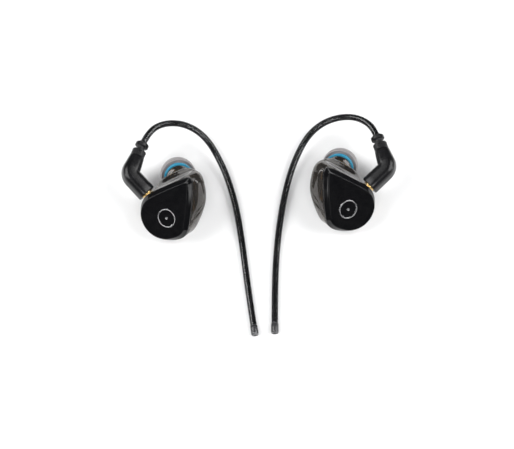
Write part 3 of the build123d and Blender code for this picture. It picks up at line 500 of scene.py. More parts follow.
CLEAR_TUBE = Finish("clear_tube_look", (0.86, 0.86, 0.84), (0.92, 0.92, 0.90), 0.12, 0.05,
                    transmission=0.6, ior=1.45, grain_scale=1800)
BOARD_GREEN = Finish("board_look", (0.010, 0.085, 0.035), (0.60, 0.42, 0.16), 0.35, 0.1,
                     grain_depth=0.02, pattern=Pattern.BOARD)
ENAMEL = Finish("wire_enamel_look", (0.50, 0.16, 0.06), (0.66, 0.27, 0.10), 0.25, 0.1, coat=0.5,
                grain_scale=5000)
CLEAR_SLEEVE = Finish("clear_sleeve_look", (0.26, 0.26, 0.275), (0.34, 0.34, 0.355), 0.06, 0.03,
                      transmission=1.0, ior=1.42, coat=0.1, grain_scale=900, grain_depth=0.002,
                      mottle_scale=260, smears=0.04)
BLACK_BRAID = Finish("black_braid_look", (0.005, 0.005, 0.0055), (0.022, 0.022, 0.024), 0.36, 0.15,
                     sheen=0.1, grain_scale=9000, grain_depth=0.012, pattern=Pattern.TWIST)
CLEAR_COLLAR = Finish("clear_collar_look", (0.13, 0.13, 0.14), (0.24, 0.24, 0.25), 0.12, 0.06,
                      transmission=0.85, ior=1.45, grain_scale=1500, grain_depth=0.003)
PALE_TABLE = Finish("pale_table_look", (0.86, 0.86, 0.86), (0.89, 0.89, 0.89), 0.6, 0.06,
                    grain_scale=700, grain_depth=0.01, mottle_scale=6)

KEPT_NODES: dict[str, Finish] = {
    "vent": GOLD, "nozzle": BRASS, "screen": STEEL_MESH, "socket_barrel": GOLD,
    "socket_insulator": WHITE_PLASTIC, "socket_contact": GOLD, "plug_barrel": GOLD,
    "plug_snap_ring": GOLD, "plug_insulator": WHITE_PLASTIC, "plug_pin": GOLD,
    "driver_basket": DRIVER_STEEL, "driver_magnet": MAGNET_GREY, "driver_diaphragm": FILM,
    "mid_driver": ARMATURE_GOLD, "high_driver": ARMATURE_GOLD, "mid_sound_tube": CLEAR_TUBE,
    "high_sound_tube": CLEAR_TUBE, "crossover_board": BOARD_GREEN, "wires": ENAMEL,
}


# ------------------------------------------------------------------ shapes
def frame_at(origin: Vector, x_dir: Vector, z_dir: Vector) -> Matrix:
    """A right-handed frame.

    Args:
        origin: Its origin.
        x_dir: Roughly its X.
        z_dir: Its Z.

    Returns:
        The matrix from that frame to the one that the vectors are in.
    """
    z = z_dir.normalized()
    x = (x_dir - z * x_dir.dot(z)).normalized()
    placed = Matrix((x, z.cross(x), z)).transposed().to_4x4()
    placed.translation = origin
    return placed


def nozzle_frame(distance: float = 0.0) -> Matrix:
    """The frame whose Z runs out along the nozzle.

    Args:
        distance: How far beyond the snout's end it stands.

    Returns:
        The matrix from that frame to the monitor's.
    """
    tilt, heading = math.radians(NOZZLE_TILT), math.radians(NOZZLE_HEADING)
    level = math.sin(tilt)
    axis = Vector((level * math.cos(heading), level * math.sin(heading), -math.cos(tilt)))
    return frame_at(NOZZLE_ROOT + axis * distance, Vector((1, 0, 0)), axis)


def socket_frame() -> Matrix:
    """The frame on the socket's seat whose Z runs out along the plug.

    Returns:
        The matrix from that frame to the monitor's.
    """
    heading = math.radians(SOCKET_HEADING)
    axis = Vector((math.cos(heading), math.sin(heading), 0))
    sideways = Vector((-axis.y, axis.x, 0))
    origin = axis * SOCKET_SEAT + sideways * SOCKET_OFFSET - Vector((0, 0, SOCKET_DEPTH))
    return frame_at(origin, -sideways, axis)


def blended(first: dict[str, Lobe], second: dict[str, Lobe], share: float) -> dict[str, Lobe]:
    """Lobes between two sets of lobes."""
    pairs = {name: zip(first[name], second[name]) for name in first}
    return {name: tuple(a + (b - a) * share for a, b in pair) for name, pair in pairs.items()}


def outline(lobes: dict[str, Lobe], inset: float, height: float, waist: float = 0.0) -> Ring:
    """Evenly spaced points on the smooth hull of the lobes.

    Args:
        lobes: The circles.
        inset: How far the points move in.
        height: Their height in the monitor's frame.
        waist: How far the side between gland and tip dips in.

    Returns:
        The ring of points.
    """
    samples: list[Vector] = []
    names = list(lobes)
    for k in range(OUTLINE_SAMPLES):
        angle = math.radians(OUTLINE_START + 360 * k / OUTLINE_SAMPLES)
        out = Vector((math.cos(angle), math.sin(angle), 0))
        along = Vector((-out.y, out.x, 0))
        reach = [x * out.x + y * out.y + r for x, y, r in lobes.values()]
        longest = max(reach)
        weights = [math.exp((v - longest) / LOBE_SOFTNESS) for v in reach]
        total = sum(weights)
        drifts = [x * along.x + y * along.y for x, y, _ in lobes.values()]
        slide = sum(w * drift for w, drift in zip(weights, drifts)) / total
        shared = weights[names.index("gland")] * weights[names.index("tip")] * 4 / total**2
        support = longest + LOBE_SOFTNESS * math.log(total) - inset - waist * shared**2
        samples.append(out * support + along * slide + Vector((0, 0, height)))
    loop = samples + samples[:1]
    lengths = [0.0]
    for here, following in zip(loop, loop[1:]):
        lengths.append(lengths[-1] + (following - here).length)
    ring: Ring = []
    index = 0
    for n in range(RING_POINTS):
        wanted = lengths[-1] * n / RING_POINTS
        while lengths[index + 1] < wanted:
            index += 1
        step = lengths[index + 1] - lengths[index]
        share = (wanted - lengths[index]) / step if step else 0.0
        ring.append(loop[index].lerp(loop[index + 1], share))
    return ring


def faired(rings: Sequence[Ring], steps: int) -> list[Ring]:
    """Rings on smooth lines through the given ones.

    Args:
        rings: The rings that the surface goes through.
        steps: Rings from one given ring to the next.

    Returns:
        All the rings.
    """
    stations = [0.0]
    for here, following in zip(rings, rings[1:]):
        gaps = [(b - a).length for a, b in zip(here, following)]
        stations.append(stations[-1] + sum(gaps) / len(gaps))
    last = len(rings) - 1

    def slope(k: int, n: int) -> Vector:
        """Slope of line n at ring k."""
        low, high = max(k - 1, 0), min(k + 1, last)
        return (rings[high][n] - rings[low][n]) / (stations[high] - stations[low])

    result = [list(rings[0])]
    for k in range(last):
        span = stations[k + 1] - stations[k]
        for j in range(1, steps + 1):
            t = j / steps
            a, b = 2 * t**3 - 3 * t**2 + 1, t**3 - 2 * t**2 + t
            c, d = -2 * t**3 + 3 * t**2, t**3 - t**2
            result.append([
                rings[k][n] * a + slope(k, n) * (b * span)
                + rings[k + 1][n] * c + slope(k + 1, n) * (d * span)
                for n in range(len(rings[0]))
            ])
    return result


def skinned(rings: Sequence[Ring], cap_start: bool = True, cap_end: bool = True) -> bmesh.types.BMesh:
    """Extrudes a ring from station to station.

    Args:
        rings: Where its points go at each station.
        cap_start: Whether a face closes the first ring.
        cap_end: Whether a face closes the last ring.

    Returns:
        The mesh.
    """
    bm = bmesh.new()
    corners = bmesh.ops.create_circle(bm, cap_ends=False, radius=1.0, segments=len(rings[0]))["verts"]
    for corner, point in zip(corners, rings[0]):
        corner.co = point
    edges = list(bm.edges)
    if cap_start:
        bmesh.ops.edgeloop_fill(bm, edges=edges)
    for following in rings[1:]:
        made = bmesh.ops.extrude_edge_only(bm, edges=edges)["geom"]
        fresh = {item for item in made if isinstance(item, bmesh.types.BMVert)}
        corners = [
            next(e.other_vert(v) for e in v.link_edges if e.other_vert(v) in fresh) for v in corners
        ]
        edges = [
            item for item in made
            if isinstance(item, bmesh.types.BMEdge) and all(v in fresh for v in item.verts)
        ]
        for corner, point in zip(corners, following):
            corner.co = point
    if cap_end:
        bmesh.ops.edgeloop_fill(bm, edges=edges)
    return bm


def turned(profile: Sequence[tuple[float, float]], segments: int = 72) -> bmesh.types.BMesh:
    """Spins a closed profile about Z.

    Args:
        profile: Its (radius, height) points in order.
        segments: Faces around.

    Returns:
        The mesh.
    """
    bm = bmesh.new()
    corners = [bm.verts.new((radius, 0.0, height)) for radius, height in profile]
    edges = [bm.edges.new(pair) for pair in zip(corners, corners[1:] + corners[:1])]
    bmesh.ops.spin(bm, geom=corners + edges, cent=(0, 0, 0), axis=(0, 0, 1), angle=2 * math.pi,
                   steps=segments, use_merge=True, use_duplicate=False)
    bmesh.ops.remove_doubles(bm, verts=bm.verts, dist=1e-4)
    bmesh.ops.recalc_face_normals(bm, faces=bm.faces)
    return bm


def eased(bm: bmesh.types.BMesh, width: float, segments: int = 2, angle: float = 32.0) -> None:
    """Bevels the edges that turn more than an angle.

    Args:
        bm: The mesh.
        width: The bevel's width.
        segments: Its segments.
        angle: The angle in degrees.
    """
    limit = math.radians(angle)
    sharp = [e for e in bm.edges if len(e.link_faces) == 2 and e.calc_face_angle(0.0) > limit]
    bmesh.ops.bevel(bm, geom=sharp, offset=width, offset_type="OFFSET", segments=segments,
                    profile=0.5, affect="EDGES", clamp_overlap=True, material=-1)


def joined(bm: bmesh.types.BMesh, other: bmesh.types.BMesh) -> None:
    """Adds a mesh to another under construction.

    Args:
        bm: The mesh that grows.
        other: The mesh that is used up.
    """
    scrap = bpy.data.meshes.new("scrap")
    other.to_mesh(scrap)
    other.free()
    bm.from_mesh(scrap)
    bpy.data.meshes.remove(scrap)


def smooth_profile(
    points: Sequence[tuple[float, float]], steps: int = 8
) -> list[tuple[float, float]]:
    """A smooth line through profile points.

    Args:
        points: (radius, height) points.
        steps: Points from one given point to the next.

    Returns:
        The line's points.
    """
    rings = [[Vector((radius, 0.0, height))] for radius, height in points]
    return [(ring[0].x, ring[0].z) for ring in faired(rings, steps)]


@dataclass(frozen=True)
class Lay:
    """How one monitor lies on the table, in millimetres and degrees."""

    side: Side
    x: float
    y: float
    spin: float
    height: float = 9.72
    lean: float = 45.0
    cant: float = -25.0

    def matrix(self) -> Matrix:
        """Where the monitor lies.

        Returns:
            The matrix from the monitor's frame in millimetres to the table's in metres.
        """
        turn = (
            Matrix.Rotation(math.radians(self.spin), 4, "Z")
            @ Matrix.Rotation(math.radians(self.lean), 4, "X")
            @ Matrix.Rotation(math.radians(self.cant), 4, "Y")
        )
        flip = Matrix.Scale(-1 if self.side is Side.RIGHT else 1, 4, (1, 0, 0))
        place = Matrix.Translation((self.x, self.y, self.height))
        return Matrix.Scale(MM, 4) @ place @ flip @ turn

    def named(self, part: str) -> str:
        """The name of this side's part."""
        return f"{self.side.value}_{part}"


class Workshop:
    """Finishes pieces: gives them their place and their material."""

    def __init__(self, effects: SharedEffects) -> None:
        """Takes the shared node groups."""
        self.effects = effects

    def finished(
        self, name: str, bm: bmesh.types.BMesh, place: Matrix, angle: float = 38.0
    ) -> bpy.types.Object:
        """Turns a mesh under construction into an object at the origin.

        Args:
            name: The piece's name.
            bm: Its mesh, which is used up.
            place: Where it goes.
            angle: Edges that turn more than this stay sharp.

        Returns:
            The object.
        """
        bmesh.ops.remove_doubles(bm, verts=bm.verts, dist=1e-5)
        bm.transform(place)
        bmesh.ops.recalc_face_normals(bm, faces=bm.faces)
        middle = sum((v.co for v in bm.verts), Vector()) / len(bm.verts)
        outward = sum(
            f.calc_area() * f.normal.dot(f.calc_center_median() - middle) for f in bm.faces
        )
        if outward < 0:
            bmesh.ops.reverse_faces(bm, faces=bm.faces)
        mesh = bpy.data.meshes.new(name)
        bm.to_mesh(mesh)
        bm.free()
        mesh.shade_smooth()
        mesh.set_sharp_from_angle(angle=math.radians(angle))
        piece = bpy.data.objects.new(name, mesh)
        bpy.context.scene.collection.objects.link(piece)
        return piece

    def dressed(self, piece: bpy.types.Object, finish: Finish) -> None:
        """Gives a new piece its material."""
        piece.data.materials.clear()
        piece.data.materials.append(finish.material(self.effects))


# ------------------------------------------------------------------ sub-assemblies
@dataclass
class SubAssembly:
    """What lies on one side, and the workshop that finishes its pieces."""

    lay: Lay
    workshop: Workshop

    def placed(
        self, name: str, bm: bmesh.types.BMesh, place: Matrix | None = None, angle: float = 38.0
    ) -> bpy.types.Object:
        """Finishes a piece where it belongs on this side.

        Args:
            name: The piece's name, without its side.
            bm: Its mesh, which is used up.
            place: Where it goes in the monitor's frame, if not at its origin.
            angle: Edges that turn more than this stay sharp.

        Returns:
            The object.
        """
        whole = self.lay.matrix() @ (place or Matrix())
        return self.workshop.finished(self.lay.named(name), bm, whole, angle)

    def fitted(
        self, piece: bpy.types.Object, finish: Finish, body: str, slot: str, node: str
    ) -> None:
        """Dresses a piece, ties it to this side's body and hides the node that it stands for.

        Args:
            piece: The piece.
            finish: Its finish.
            body: The body that it rides on, without its side.
            slot: The record's slot; not used.
            node: The node that it stands for, without its side.
        """
        body, node = self.lay.named(body), self.lay.named(node)
        self.workshop.dressed(piece, finish)
        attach(piece, body)
        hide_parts(node)
        faces = len(piece.data.polygons) if piece.type == "MESH" else 0
        LOG.info("%s: %d faces, on %s", piece.name, faces, body)


@dataclass
class MonitorShell(SubAssembly):
    """Smoky resin body that narrows into the snout, with the faceplate and its inlay."""

    wall: float = 0.75
    waist: float = 0.45
    swelling: float = 0.6
    bulge_depth: float = 4.6
    concha_depth: float = 7.2
    lower_depth: float = 8.2
    lower_inset: float = 1.0
    shoulder_share: float = 0.42
    root_radius: float = 4.75
    root_depth: float = 2.0
    throat_radius: float = 4.35
    throat_depth: float = 0.9
    snout_radius: float = 4.15
    turn_share: float = 0.5
    ring_steps: int = 7
    emblem_x: float = 1.2
    emblem_y: float = -0.7
    emblem_radius: float = 3.1
    emblem_line: float = 0.3
    emblem_base: float = 1.7
    emblem_dot: float = 0.45
    crown_offset: float = 1.2
    face_height: float = 1.9
    face_edge: float = 0.6
    slim_bevel: float = 0.45

    def _snout_ring(self, guide: Ring, distance: float, radius: float) -> Ring:
        """A ring across the snout whose points face the guide ring's.

        Args:
            guide: The ring that it is joined to.
            distance: Its distance beyond the snout's end.
            radius: Its radius.

        Returns:
            The ring.
        """
        place = nozzle_frame(distance)
        centre, across = place.translation, place.col[0].to_3d()
        upward = -place.col[2].to_3d()
        other = upward.cross(across)
        start = math.radians(OUTLINE_START)
        ring: Ring = []
        for n, point in enumerate(guide):
            seen = math.atan2(point.y - centre.y, point.x - centre.x)
            even = start + 2 * math.pi * n / len(guide)
            drift = (seen - even + math.pi) % (2 * math.pi) - math.pi
            angle = even + self.turn_share * drift
            ring.append(centre + (across * math.cos(angle) + other * math.sin(angle)) * radius)
        return ring

    @staticmethod
    def _slimness(point: Vector) -> float:
        """How far the bevel narrows towards the lower lobe, 0 to 1."""
        towards = point.xy.normalized().dot(Vector((-0.64, -0.77)))
        return max(0.0, min(1.0, 1.4 * towards)) ** 1.5

    def rings(self) -> list[Ring]:
        """The outside's rings, from the faceplate to the snout's end.

        Returns:
            The rings that the resin goes through.
        """
        swelling = blended(FACE_LOBES, BULGE_LOBES, self.swelling)
        lower = outline(CONCHA_LOBES, self.lower_inset, -self.lower_depth)
        root = self._snout_ring(lower, -self.root_depth, self.root_radius)
        shoulder = [a.lerp(b, self.shoulder_share) for a, b in zip(lower, root)]
        return [
            outline(FACE_LOBES, 0.0, 0.0, self.waist),
            outline(swelling, 0.0, -self.bulge_depth / 3, self.waist * 0.5),
            outline(BULGE_LOBES, 0.0, -self.bulge_depth),
            outline(CONCHA_LOBES, 0.0, -self.concha_depth),
            shoulder,
            self._snout_ring(lower, -self.throat_depth, self.throat_radius),
            self._snout_ring(lower, 0.0, self.snout_radius),
        ]

    def build_shell(self) -> None:
        """Makes the resin body, with its wall."""
        bm = skinned(faired(self.rings(), self.ring_steps), cap_start=False, cap_end=False)
        shell = self.placed("resin_body", bm, angle=60.0)
        wall = shell.modifiers.new("wall", "SOLIDIFY")
        wall.thickness = self.wall * MM
        wall.offset = -1.0
        wall.use_even_offset = True
        self.fitted(shell, SMOKE_RESIN, "monitor", "smoke_resin", "shell")

    def build_faceplate(self) -> None:
        """Makes the black lid: spigot, upright edge, bevel and a barely crowned face."""
        rings: list[Ring] = []
        for height, inset in LID_EDGE:
            wide = outline(FACE_LOBES, inset, height, self.waist)
            if height > self.face_edge:
                slim = outline(FACE_LOBES, inset * self.slim_bevel, height, self.waist)
                wide = [a.lerp(b, self._slimness(a)) for a, b in zip(wide, slim)]
            rings.append(wide)
        middle = Vector((self.emblem_x, self.emblem_y + self.crown_offset, 0.0))
        rim = rings[-1]
        for share, height in LID_CROWN:
            ring = [middle + (p - middle) * share for p in rim]
            rings.append([Vector((p.x, p.y, height)) for p in ring])
        lid = self.placed("gloss_faceplate", skinned(rings), angle=50.0)
        self.fitted(lid, BLACK_GLOSS, "monitor", "black_gloss", "faceplate")

    def build_emblem(self) -> None:
        """Makes the plain ring and dot let into the faceplate."""
        base, top = self.emblem_base, self.face_height
        outer, dot = self.emblem_radius, self.emblem_dot
        inner = outer - self.emblem_line
        bm = turned([(inner, base), (outer, base), (outer, top), (inner, top)], FINE_TURN)
        eased(bm, width=0.04)
        crown = [(dot, top - 0.03), (0.3, top - 0.005), (0.0, top)]
        joined(bm, turned([(0.0, base), (dot, base), *crown], 32))
        place = Matrix.Translation((self.emblem_x, self.emblem_y, 0.0))
        emblem = self.placed("silver_ring", bm, place)
        self.fitted(emblem, SILVER, "monitor", "silver", "emblem")


@dataclass
class Eartip(SubAssembly):
    """Two-colour silicone tip: a blue tube with a bead, in a grey dome."""

    bore: float = 3.28
    tube: float = 3.83
    base_radius: float = 4.7
    base_start: float = 0.65
    base_length: float = 1.0
    tube_end: float = 7.0
    length: float = 8.5
    radius: float = 5.75
    wall: float = 0.45
    rim: float = 1.9
    mouth: float = 2.3
    crown_radius: float = 4.1

    def build_core(self) -> None:
        """Makes the blue tube with its rounded bead."""
        base_end = self.base_start + self.base_length
        bm = turned([
            (self.bore, self.base_start), (self.base_radius, self.base_start),
            (self.base_radius, base_end), (self.tube, base_end + 0.05), (self.tube, self.tube_end),
            (self.bore, self.tube_end),
        ])
        eased(bm, width=0.3, segments=4)
        core = self.placed("tip_core", bm, nozzle_frame())
        self.fitted(core, BLUE_SILICONE, "eartip", "blue_silicone", "eartip_core")

    def build_dome(self) -> None:
        """Makes the grey dome with its thin skirt."""
        inner = self.radius - self.wall
        outside = smooth_profile([
            (self.mouth, self.length - 0.25), (self.mouth + 0.3, self.length),
            (self.crown_radius, self.length - 1.05), (self.radius - 0.45, self.length - 2.9),
            (self.radius, self.rim + 1.7), (self.radius - 0.12, self.rim + 0.08),
        ])
        lip = [(self.radius - 0.2, self.rim), (inner + 0.05, self.rim)]
        inside = smooth_profile([
            (inner - 0.05, self.rim + 0.05), (inner - 0.15, self.rim + 0.25),
            (inner - 0.5, self.rim + 0.4), (self.tube, self.rim + 0.45),
        ])
        seat = [(self.tube, self.tube_end), (self.mouth, self.tube_end)]
        bm = turned([*seat, *outside, *lip, *inside], FINE_TURN)
        dome = self.placed("tip_dome", bm, nozzle_frame(), angle=50.0)
        self.fitted(dome, GREY_SILICONE, "eartip", "grey_silicone", "eartip_flange")


@dataclass
class AngledPlug(SubAssembly):
    """Angled plug housing and the slotted strain relief at its end."""

    start: float = 1.3
    width: float = 5.7
    end_width: float = 4.7
    corner: float = 2.0
    edge: float = 0.4
    lower_limb: float = 8.5
    upper_limb: float = 6.7
    bend: float = 66.0
    elbow: float = 3.0
    elbow_steps: int = 14
    edge_steps: int = 4
    collar_radius: float = 2.3
    slot_floor: float = 1.65
    slot_half_angle: float = 12.0
    collar_slots: tuple[float, float] = (0.6, 1.7)
    collar_side: float = 2.0
    disc_notches: tuple[float, float] = (3.72, 4.99)
    disc_side: float = 1.98

    def bend_frame(self) -> Matrix:
        """The frame of the bend: X towards the hook's side, Y out along the plug.

        Returns:
            The matrix from that frame to the monitor's.
        """
        seat = socket_frame()
        turn = math.radians(PLUG_SWIVEL)
        side = seat.col[0].to_3d() * math.cos(turn) + seat.col[1].to_3d() * math.sin(turn)
        return frame_at(seat.translation, side, side.cross(seat.col[2].to_3d()))

    def upper_frame(self, distance: float = 0.0) -> Matrix:
        """The frame across the upper limb.

        Args:
            distance: How far beyond the limb's end it stands.

        Returns:
            The matrix from that frame to the monitor's.
        """
        flat = self.bend_frame()
        turn = math.radians(self.bend)
        side, out = flat.col[0].to_3d(), flat.col[1].to_3d()
        axis = side * math.sin(turn) + out * math.cos(turn)
        corner = flat.translation + out * (self.start + self.lower_limb)
        return frame_at(corner + axis * (self.upper_limb + distance), flat.col[2].to_3d(), axis)

    def _section(self, size: float, shrink: float) -> list[tuple[float, float]]:
        """Points of the rounded square.

        Args:
            size: Its size against the lower limb's.
            shrink: How far it moves in.

        Returns:
            The points, in order.
        """
        half = self.width * size / 2 - shrink
        radius = max(self.corner * size - shrink, 0.4)
        points: list[tuple[float, float]] = []
        for quarter in range(4):
            centre_angle = math.radians(45 + 90 * quarter)
            cx = math.copysign(half - radius, math.cos(centre_angle))
            cy = math.copysign(half - radius, math.sin(centre_angle))
            for k in range(11):
                angle = math.radians(90 * quarter + 9 * k)
                points.append((cx + radius * math.cos(angle), cy + radius * math.sin(angle)))
        return points

    def _stations(self) -> list[tuple[Vector, Vector, float, float]]:
        """Places the housing's sections, in the bend's frame.

        Returns:
            Centre, in-plane normal, size and shrink of each section.
        """
        turn = math.radians(self.bend)
        reach = self.elbow * math.tan(turn / 2)
        corner = self.start + self.lower_limb
        axis = Vector((math.sin(turn), math.cos(turn), 0))
        taper = self.end_width / self.width
        straight = Vector((1, 0, 0))
        edge_angles = [math.pi / 2 * k / self.edge_steps for k in range(self.edge_steps + 1)]
        stations: list[tuple[Vector, Vector, float, float]] = []
        for a in edge_angles:
            y = self.start + self.edge * (1 - math.cos(a))
            stations.append((Vector((0, y, 0)), straight, 1.0, self.edge * (1 - math.sin(a))))
        for share in (0.33, 0.66, 1.0):
            y = self.start + self.edge + (corner - reach - self.start - self.edge) * share
            stations.append((Vector((0, y, 0)), straight, 1.0, 0.0))
        for k in range(1, self.elbow_steps + 1):
            a = turn * k / self.elbow_steps
            x, y = self.elbow * (1 - math.cos(a)), corner - reach + self.elbow * math.sin(a)
            stations.append((Vector((x, y, 0)), Vector((math.cos(a), -math.sin(a), 0)), 1.0, 0.0))
        normal = Vector((math.cos(turn), -math.sin(turn), 0))
        for share in (0.3, 0.6, 0.9):
            distance = reach + (self.upper_limb - self.edge - reach) * share
            size = 1 + (taper - 1) * (distance - reach) / (self.upper_limb - reach)
            stations.append((Vector((0, corner, 0)) + axis * distance, normal, size, 0.0))
        for a in edge_angles:
            centre = Vector((0, corner, 0)) + axis * (self.upper_limb - self.edge * (1 - math.sin(a)))
            stations.append((centre, normal, taper, self.edge * (1 - math.cos(a))))
        return stations

    def build_housing(self) -> None:
        """Makes the angled housing."""
        rings: list[Ring] = []
        for centre, normal, size, shrink in self._stations():
            section = self._section(size, shrink)
            rings.append([centre + normal * u + Vector((0, 0, v)) for u, v in section])
        housing = self.placed("angled_housing", skinned(rings), self.bend_frame(), angle=40.0)
        self.fitted(housing, BLACK_SATIN, "ear_hook", "black_satin", "plug_housing")

    def _in_slot(self, middle: Vector) -> bool:
        """Whether a face is in one of the collar's slots or the disc's notches.

        Args:
            middle: The face's middle.

        Returns:
            True for a face that sinks in.
        """
        angle = math.degrees(math.atan2(middle.y, middle.x)) % 90
        radius = middle.xy.length
        (slot_start, slot_end), (notch_start, notch_end) = self.collar_slots, self.disc_notches
        on_collar = slot_start < middle.z < slot_end and radius > self.collar_side
        on_disc = notch_start < middle.z < notch_end and radius > self.disc_side
        slotted = min(angle, 90 - angle) < self.slot_half_angle
        notched = abs(angle - 45) < self.slot_half_angle
        return on_collar and slotted or on_disc and notched

    def build_relief(self) -> None:
        """Makes the strain relief: stub, slotted collar, neck, disc and tapered end."""
        bm = turned(RELIEF_PROFILE, segments=80)
        slots = [face for face in bm.faces if self._in_slot(face.calc_center_median())]
        made = bmesh.ops.extrude_face_region(bm, geom=slots)["geom"]
        for item in made:
            if isinstance(item, bmesh.types.BMVert):
                item.co.xy *= self.slot_floor / self.collar_radius
        bmesh.ops.delete(bm, geom=[f for f in slots if f.is_valid], context="FACES_ONLY")
        eased(bm, width=0.05, angle=40)
        relief = self.placed("slotted_relief", bm, self.upper_frame())
        self.fitted(relief, BLACK_RUBBER, "ear_hook", "black_rubber", "strain_relief")


@dataclass
class EarHook(SubAssembly):
    """Clear sleeve round a twisted black cable, with a clear collar on its free end."""

    sleeve_radius: float = 1.08
    strands: int = 4
    strand_radius: float = 0.3
    strand_centre: float = 0.42
    strand_sides: int = 8
    pitch: float = 5.6
    collar_radius: float = 1.2
    collar_length: float = 3.2
    collar_overhang: float = 0.6
    collar_hole: float = 0.5
    cable_stop: int = 3

    def _line(self, name: str, bevel: float) -> bpy.types.Object:
        """A smooth curve on the hook's route.

        Args:
            name: The object's name.
            bevel: The tube's radius in millimetres, or 0.

        Returns:
            The curve's object.
        """
        curve = bpy.data.curves.new(name, "CURVE")
        curve.dimensions = "3D"
        route = HOOK_ROUTES[self.lay.side.value]
        spline = curve.splines.new("NURBS")
        spline.points.add(len(route) - 1)
        for control, point in zip(spline.points, route):
            control.co = (*point, 1.0)
        spline.order_u = 3
        spline.use_endpoint_u = True
        curve.resolution_u = 24
        spline.resolution_u = 24
        curve.bevel_depth = bevel * MM
        curve.bevel_resolution = 6
        curve.use_fill_caps = bevel > 0
        line = bpy.data.objects.new(name, curve)
        bpy.context.scene.collection.objects.link(line)
        return line

    def _followed(self) -> list[Vector]:
        """Follows the hook's smooth curve.

        Returns:
            Points along it, in millimetres.
        """
        line = self._line(self.lay.named("guide"), 0.0)
        bpy.context.view_layer.update()
        mesh = bpy.data.meshes.new_from_object(line)
        points = [v.co / MM for v in mesh.vertices]
        bpy.data.meshes.remove(mesh)
        bpy.data.objects.remove(line)
        return points

    @staticmethod
    def _frames(points: Sequence[Vector]) -> list[tuple[Vector, Vector, Vector, Vector]]:
        """Frames carried along the points without twist.

        Args:
            points: The points.

        Returns:
            Point, tangent and two directions across, for each point.
        """
        frames = []
        across = Vector((0, 0, 1))
        for k, point in enumerate(points):
            tangent = (points[min(k + 1, len(points) - 1)] - points[max(k - 1, 0)]).normalized()
            across = (across - tangent * across.dot(tangent)).normalized()
            frames.append((point, tangent, across, tangent.cross(across)))
        return frames

    def _cable(self, points: Sequence[Vector]) -> bmesh.types.BMesh:
        """Twisted strands along the points.

        Args:
            points: The points.

        Returns:
            The strands' mesh.
        """
        frames = self._frames(points)
        travelled = [0.0]
        for here, following in zip(points, points[1:]):
            travelled.append(travelled[-1] + (following - here).length)
        cable = bmesh.new()
        for strand in range(self.strands):
            centres = []
            for (point, _, u, v), length in zip(frames, travelled):
                angle = 2 * math.pi * (length / self.pitch + strand / self.strands)
                centres.append(point + (u * math.cos(angle) + v * math.sin(angle)) * self.strand_centre)
            rings = []
            for centre, _, u, v in self._frames(centres):
                rings.append([
                    centre + (u * math.cos(a) + v * math.sin(a)) * self.strand_radius
                    for a in (2 * math.pi * k / self.strand_sides for k in range(self.strand_sides))
                ])
            joined(cable, skinned(rings))
        return cable

    def build(self) -> None:
        finished, named = self.workshop.finished, self.lay.named
        sleeve = self._line(named("hook_tube"), self.sleeve_radius)
        self.fitted(sleeve, CLEAR_SLEEVE, "ear_hook", "clear_sleeve", "hook_sleeve")
        points = self._followed()
        table = Matrix.Scale(MM, 4)
        strands = self._cable(points[:-self.cable_stop])
        cable = finished(named("twisted_cable"), strands, table, angle=60.0)
        self.fitted(cable, BLACK_BRAID, "ear_hook", "black_braid", "hook_cable")
        end, before = points[-1], points[-1 - self.cable_stop]
        outer, hole = self.collar_radius, self.collar_hole
        top = self.collar_overhang
        bottom = top - self.collar_length
        inner = self.sleeve_radius + 0.01
        bm = turned([
            (inner, bottom), (outer - 0.05, bottom), (outer, bottom + 0.15), (outer, top - 0.3),
            (outer - 0.15, top), (hole + 0.05, top), (hole, 0.05), (inner, 0.05),
        ], segments=64)
        eased(bm, width=0.05)
        place = table @ frame_at(end, Vector((0, 0, 1)), end - before)
        collar = finished(named("end_ring"), bm, place)
        self.fitted(collar, CLEAR_COLLAR, "ear_hook", "clear_collar", "hook_end_collar")


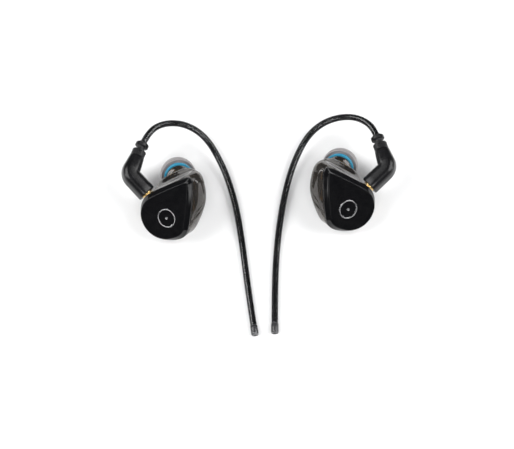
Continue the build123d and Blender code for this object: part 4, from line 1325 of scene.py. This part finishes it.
@dataclass
class Studio:
    """Camera, table and soft lights."""

    target: tuple[float, float, float] = (-0.00063, -0.0124, 0.006)
    elevation: float = 65.0
    distance: float = 0.8
    lens: float = 175.0
    table_size: float = 1.5
    table_gap: float = 0.00002

    def build_camera(self) -> None:
        """Sets the camera over the table, looking down at the pair."""
        lens = bpy.data.cameras.new("camera")
        lens.lens = self.lens
        lens.sensor_width = 36.0
        lens.clip_start, lens.clip_end = 0.01, 20.0
        camera = bpy.data.objects.new("camera", lens)
        bpy.context.scene.collection.objects.link(camera)
        angle = math.radians(self.elevation)
        back = Vector((0.0, -math.cos(angle), math.sin(angle)))
        camera.location = Vector(self.target) + back * self.distance
        camera.rotation_euler = (-back).to_track_quat("-Z", "Y").to_euler()
        bpy.context.scene.camera = camera

    def _softbox(
        self, name: str, place: Vector, aim: Vector, size: tuple[float, float], power: float
    ) -> None:
        """Hangs a soft rectangular light.

        Args:
            name: Its name.
            place: Where it hangs.
            aim: What it points at.
            size: Its width and height.
            power: Its power in watts.
        """
        light = bpy.data.lights.new(name, "AREA")
        light.shape = "RECTANGLE"
        light.size, light.size_y = size
        light.energy = power
        lamp = bpy.data.objects.new(name, light)
        lamp.location = place
        lamp.rotation_euler = (aim - place).to_track_quat("-Z", "Y").to_euler()
        bpy.context.scene.collection.objects.link(lamp)

    def build_lights(self) -> None:
        """Lights the pair softly from above, with strips for the edges."""
        middle = Vector((0.0, 0.0, 0.005))
        for name, place, size, power in (
            ("left_bank", (-0.85, 0.0, 0.85), (0.9, 0.9), 13.0),
            ("right_bank", (0.85, 0.0, 0.85), (0.9, 0.9), 13.0),
            ("front_bank", (0.0, -0.8, 1.0), (0.8, 0.4), 8.5),
            ("left_strip", (-0.97, -0.1, 0.22), (0.1, 0.34), 0.95),
            ("right_strip", (0.97, -0.1, 0.22), (0.1, 0.34), 0.95),
            ("front_left_strip", (-0.48, -0.8, 0.34), (0.07, 0.2), 0.13),
            ("front_right_strip", (0.48, -0.8, 0.34), (0.07, 0.2), 0.13),
        ):
            self._softbox(name, Vector(place), middle, size, power)
        world = bpy.data.worlds.new("studio")
        world.use_nodes = True
        background = world.node_tree.nodes["Background"].inputs
        background["Color"].default_value = (0.9, 0.93, 1.0, 1.0)
        background["Strength"].default_value = 0.07
        scene = bpy.context.scene
        scene.world = world
        scene.view_settings.view_transform = "Standard"

    def build_table(self, workshop: Workshop) -> None:
        """Lays the pale table top under the pair.

        Args:
            workshop: Finishes the piece.
        """
        bm = bmesh.new()
        bmesh.ops.create_grid(bm, x_segments=8, y_segments=8, size=self.table_size)
        table = workshop.finished("pale_table", bm, Matrix.Translation((0, 0, -self.table_gap)))
        workshop.dressed(table, PALE_TABLE)


def dress_kept_nodes(workshop: Workshop, lay: Lay) -> None:
    """Gives the CAD nodes that stay their finishes.

    Args:
        workshop: Holds the shared effects.
        lay: The side.
    """
    for part, finish in KEPT_NODES.items():
        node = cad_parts[lay.named(part)]
        material = finish.material(workshop.effects)
        for slot in node.material_slots:
            slot.material = material
        LOG.info("%s: kept, in %s", lay.named(part), finish.name)


def main() -> None:
    """Builds the studio, the hooks and then the rest of each side."""
    logging.basicConfig(level=logging.INFO, format="%(name)s: %(message)s")
    workshop = Workshop(SharedEffects())
    lays = (Lay(Side.LEFT, -29.73, -10.36, 0.0), Lay(Side.RIGHT, 28.87, -7.26, 3.5))
    studio = Studio()
    studio.build_camera()
    for lay in lays:
        EarHook(lay, workshop).build()
    studio.build_lights()
    studio.build_table(workshop)
    for lay in lays:
        body = MonitorShell(lay, workshop)
        body.build_shell()
        body.build_faceplate()
        body.build_emblem()
        tip = Eartip(lay, workshop)
        tip.build_core()
        tip.build_dome()
        plug = AngledPlug(lay, workshop)
        plug.build_housing()
        plug.build_relief()
        dress_kept_nodes(workshop, lay)


if __name__ == "__main__":
    main()
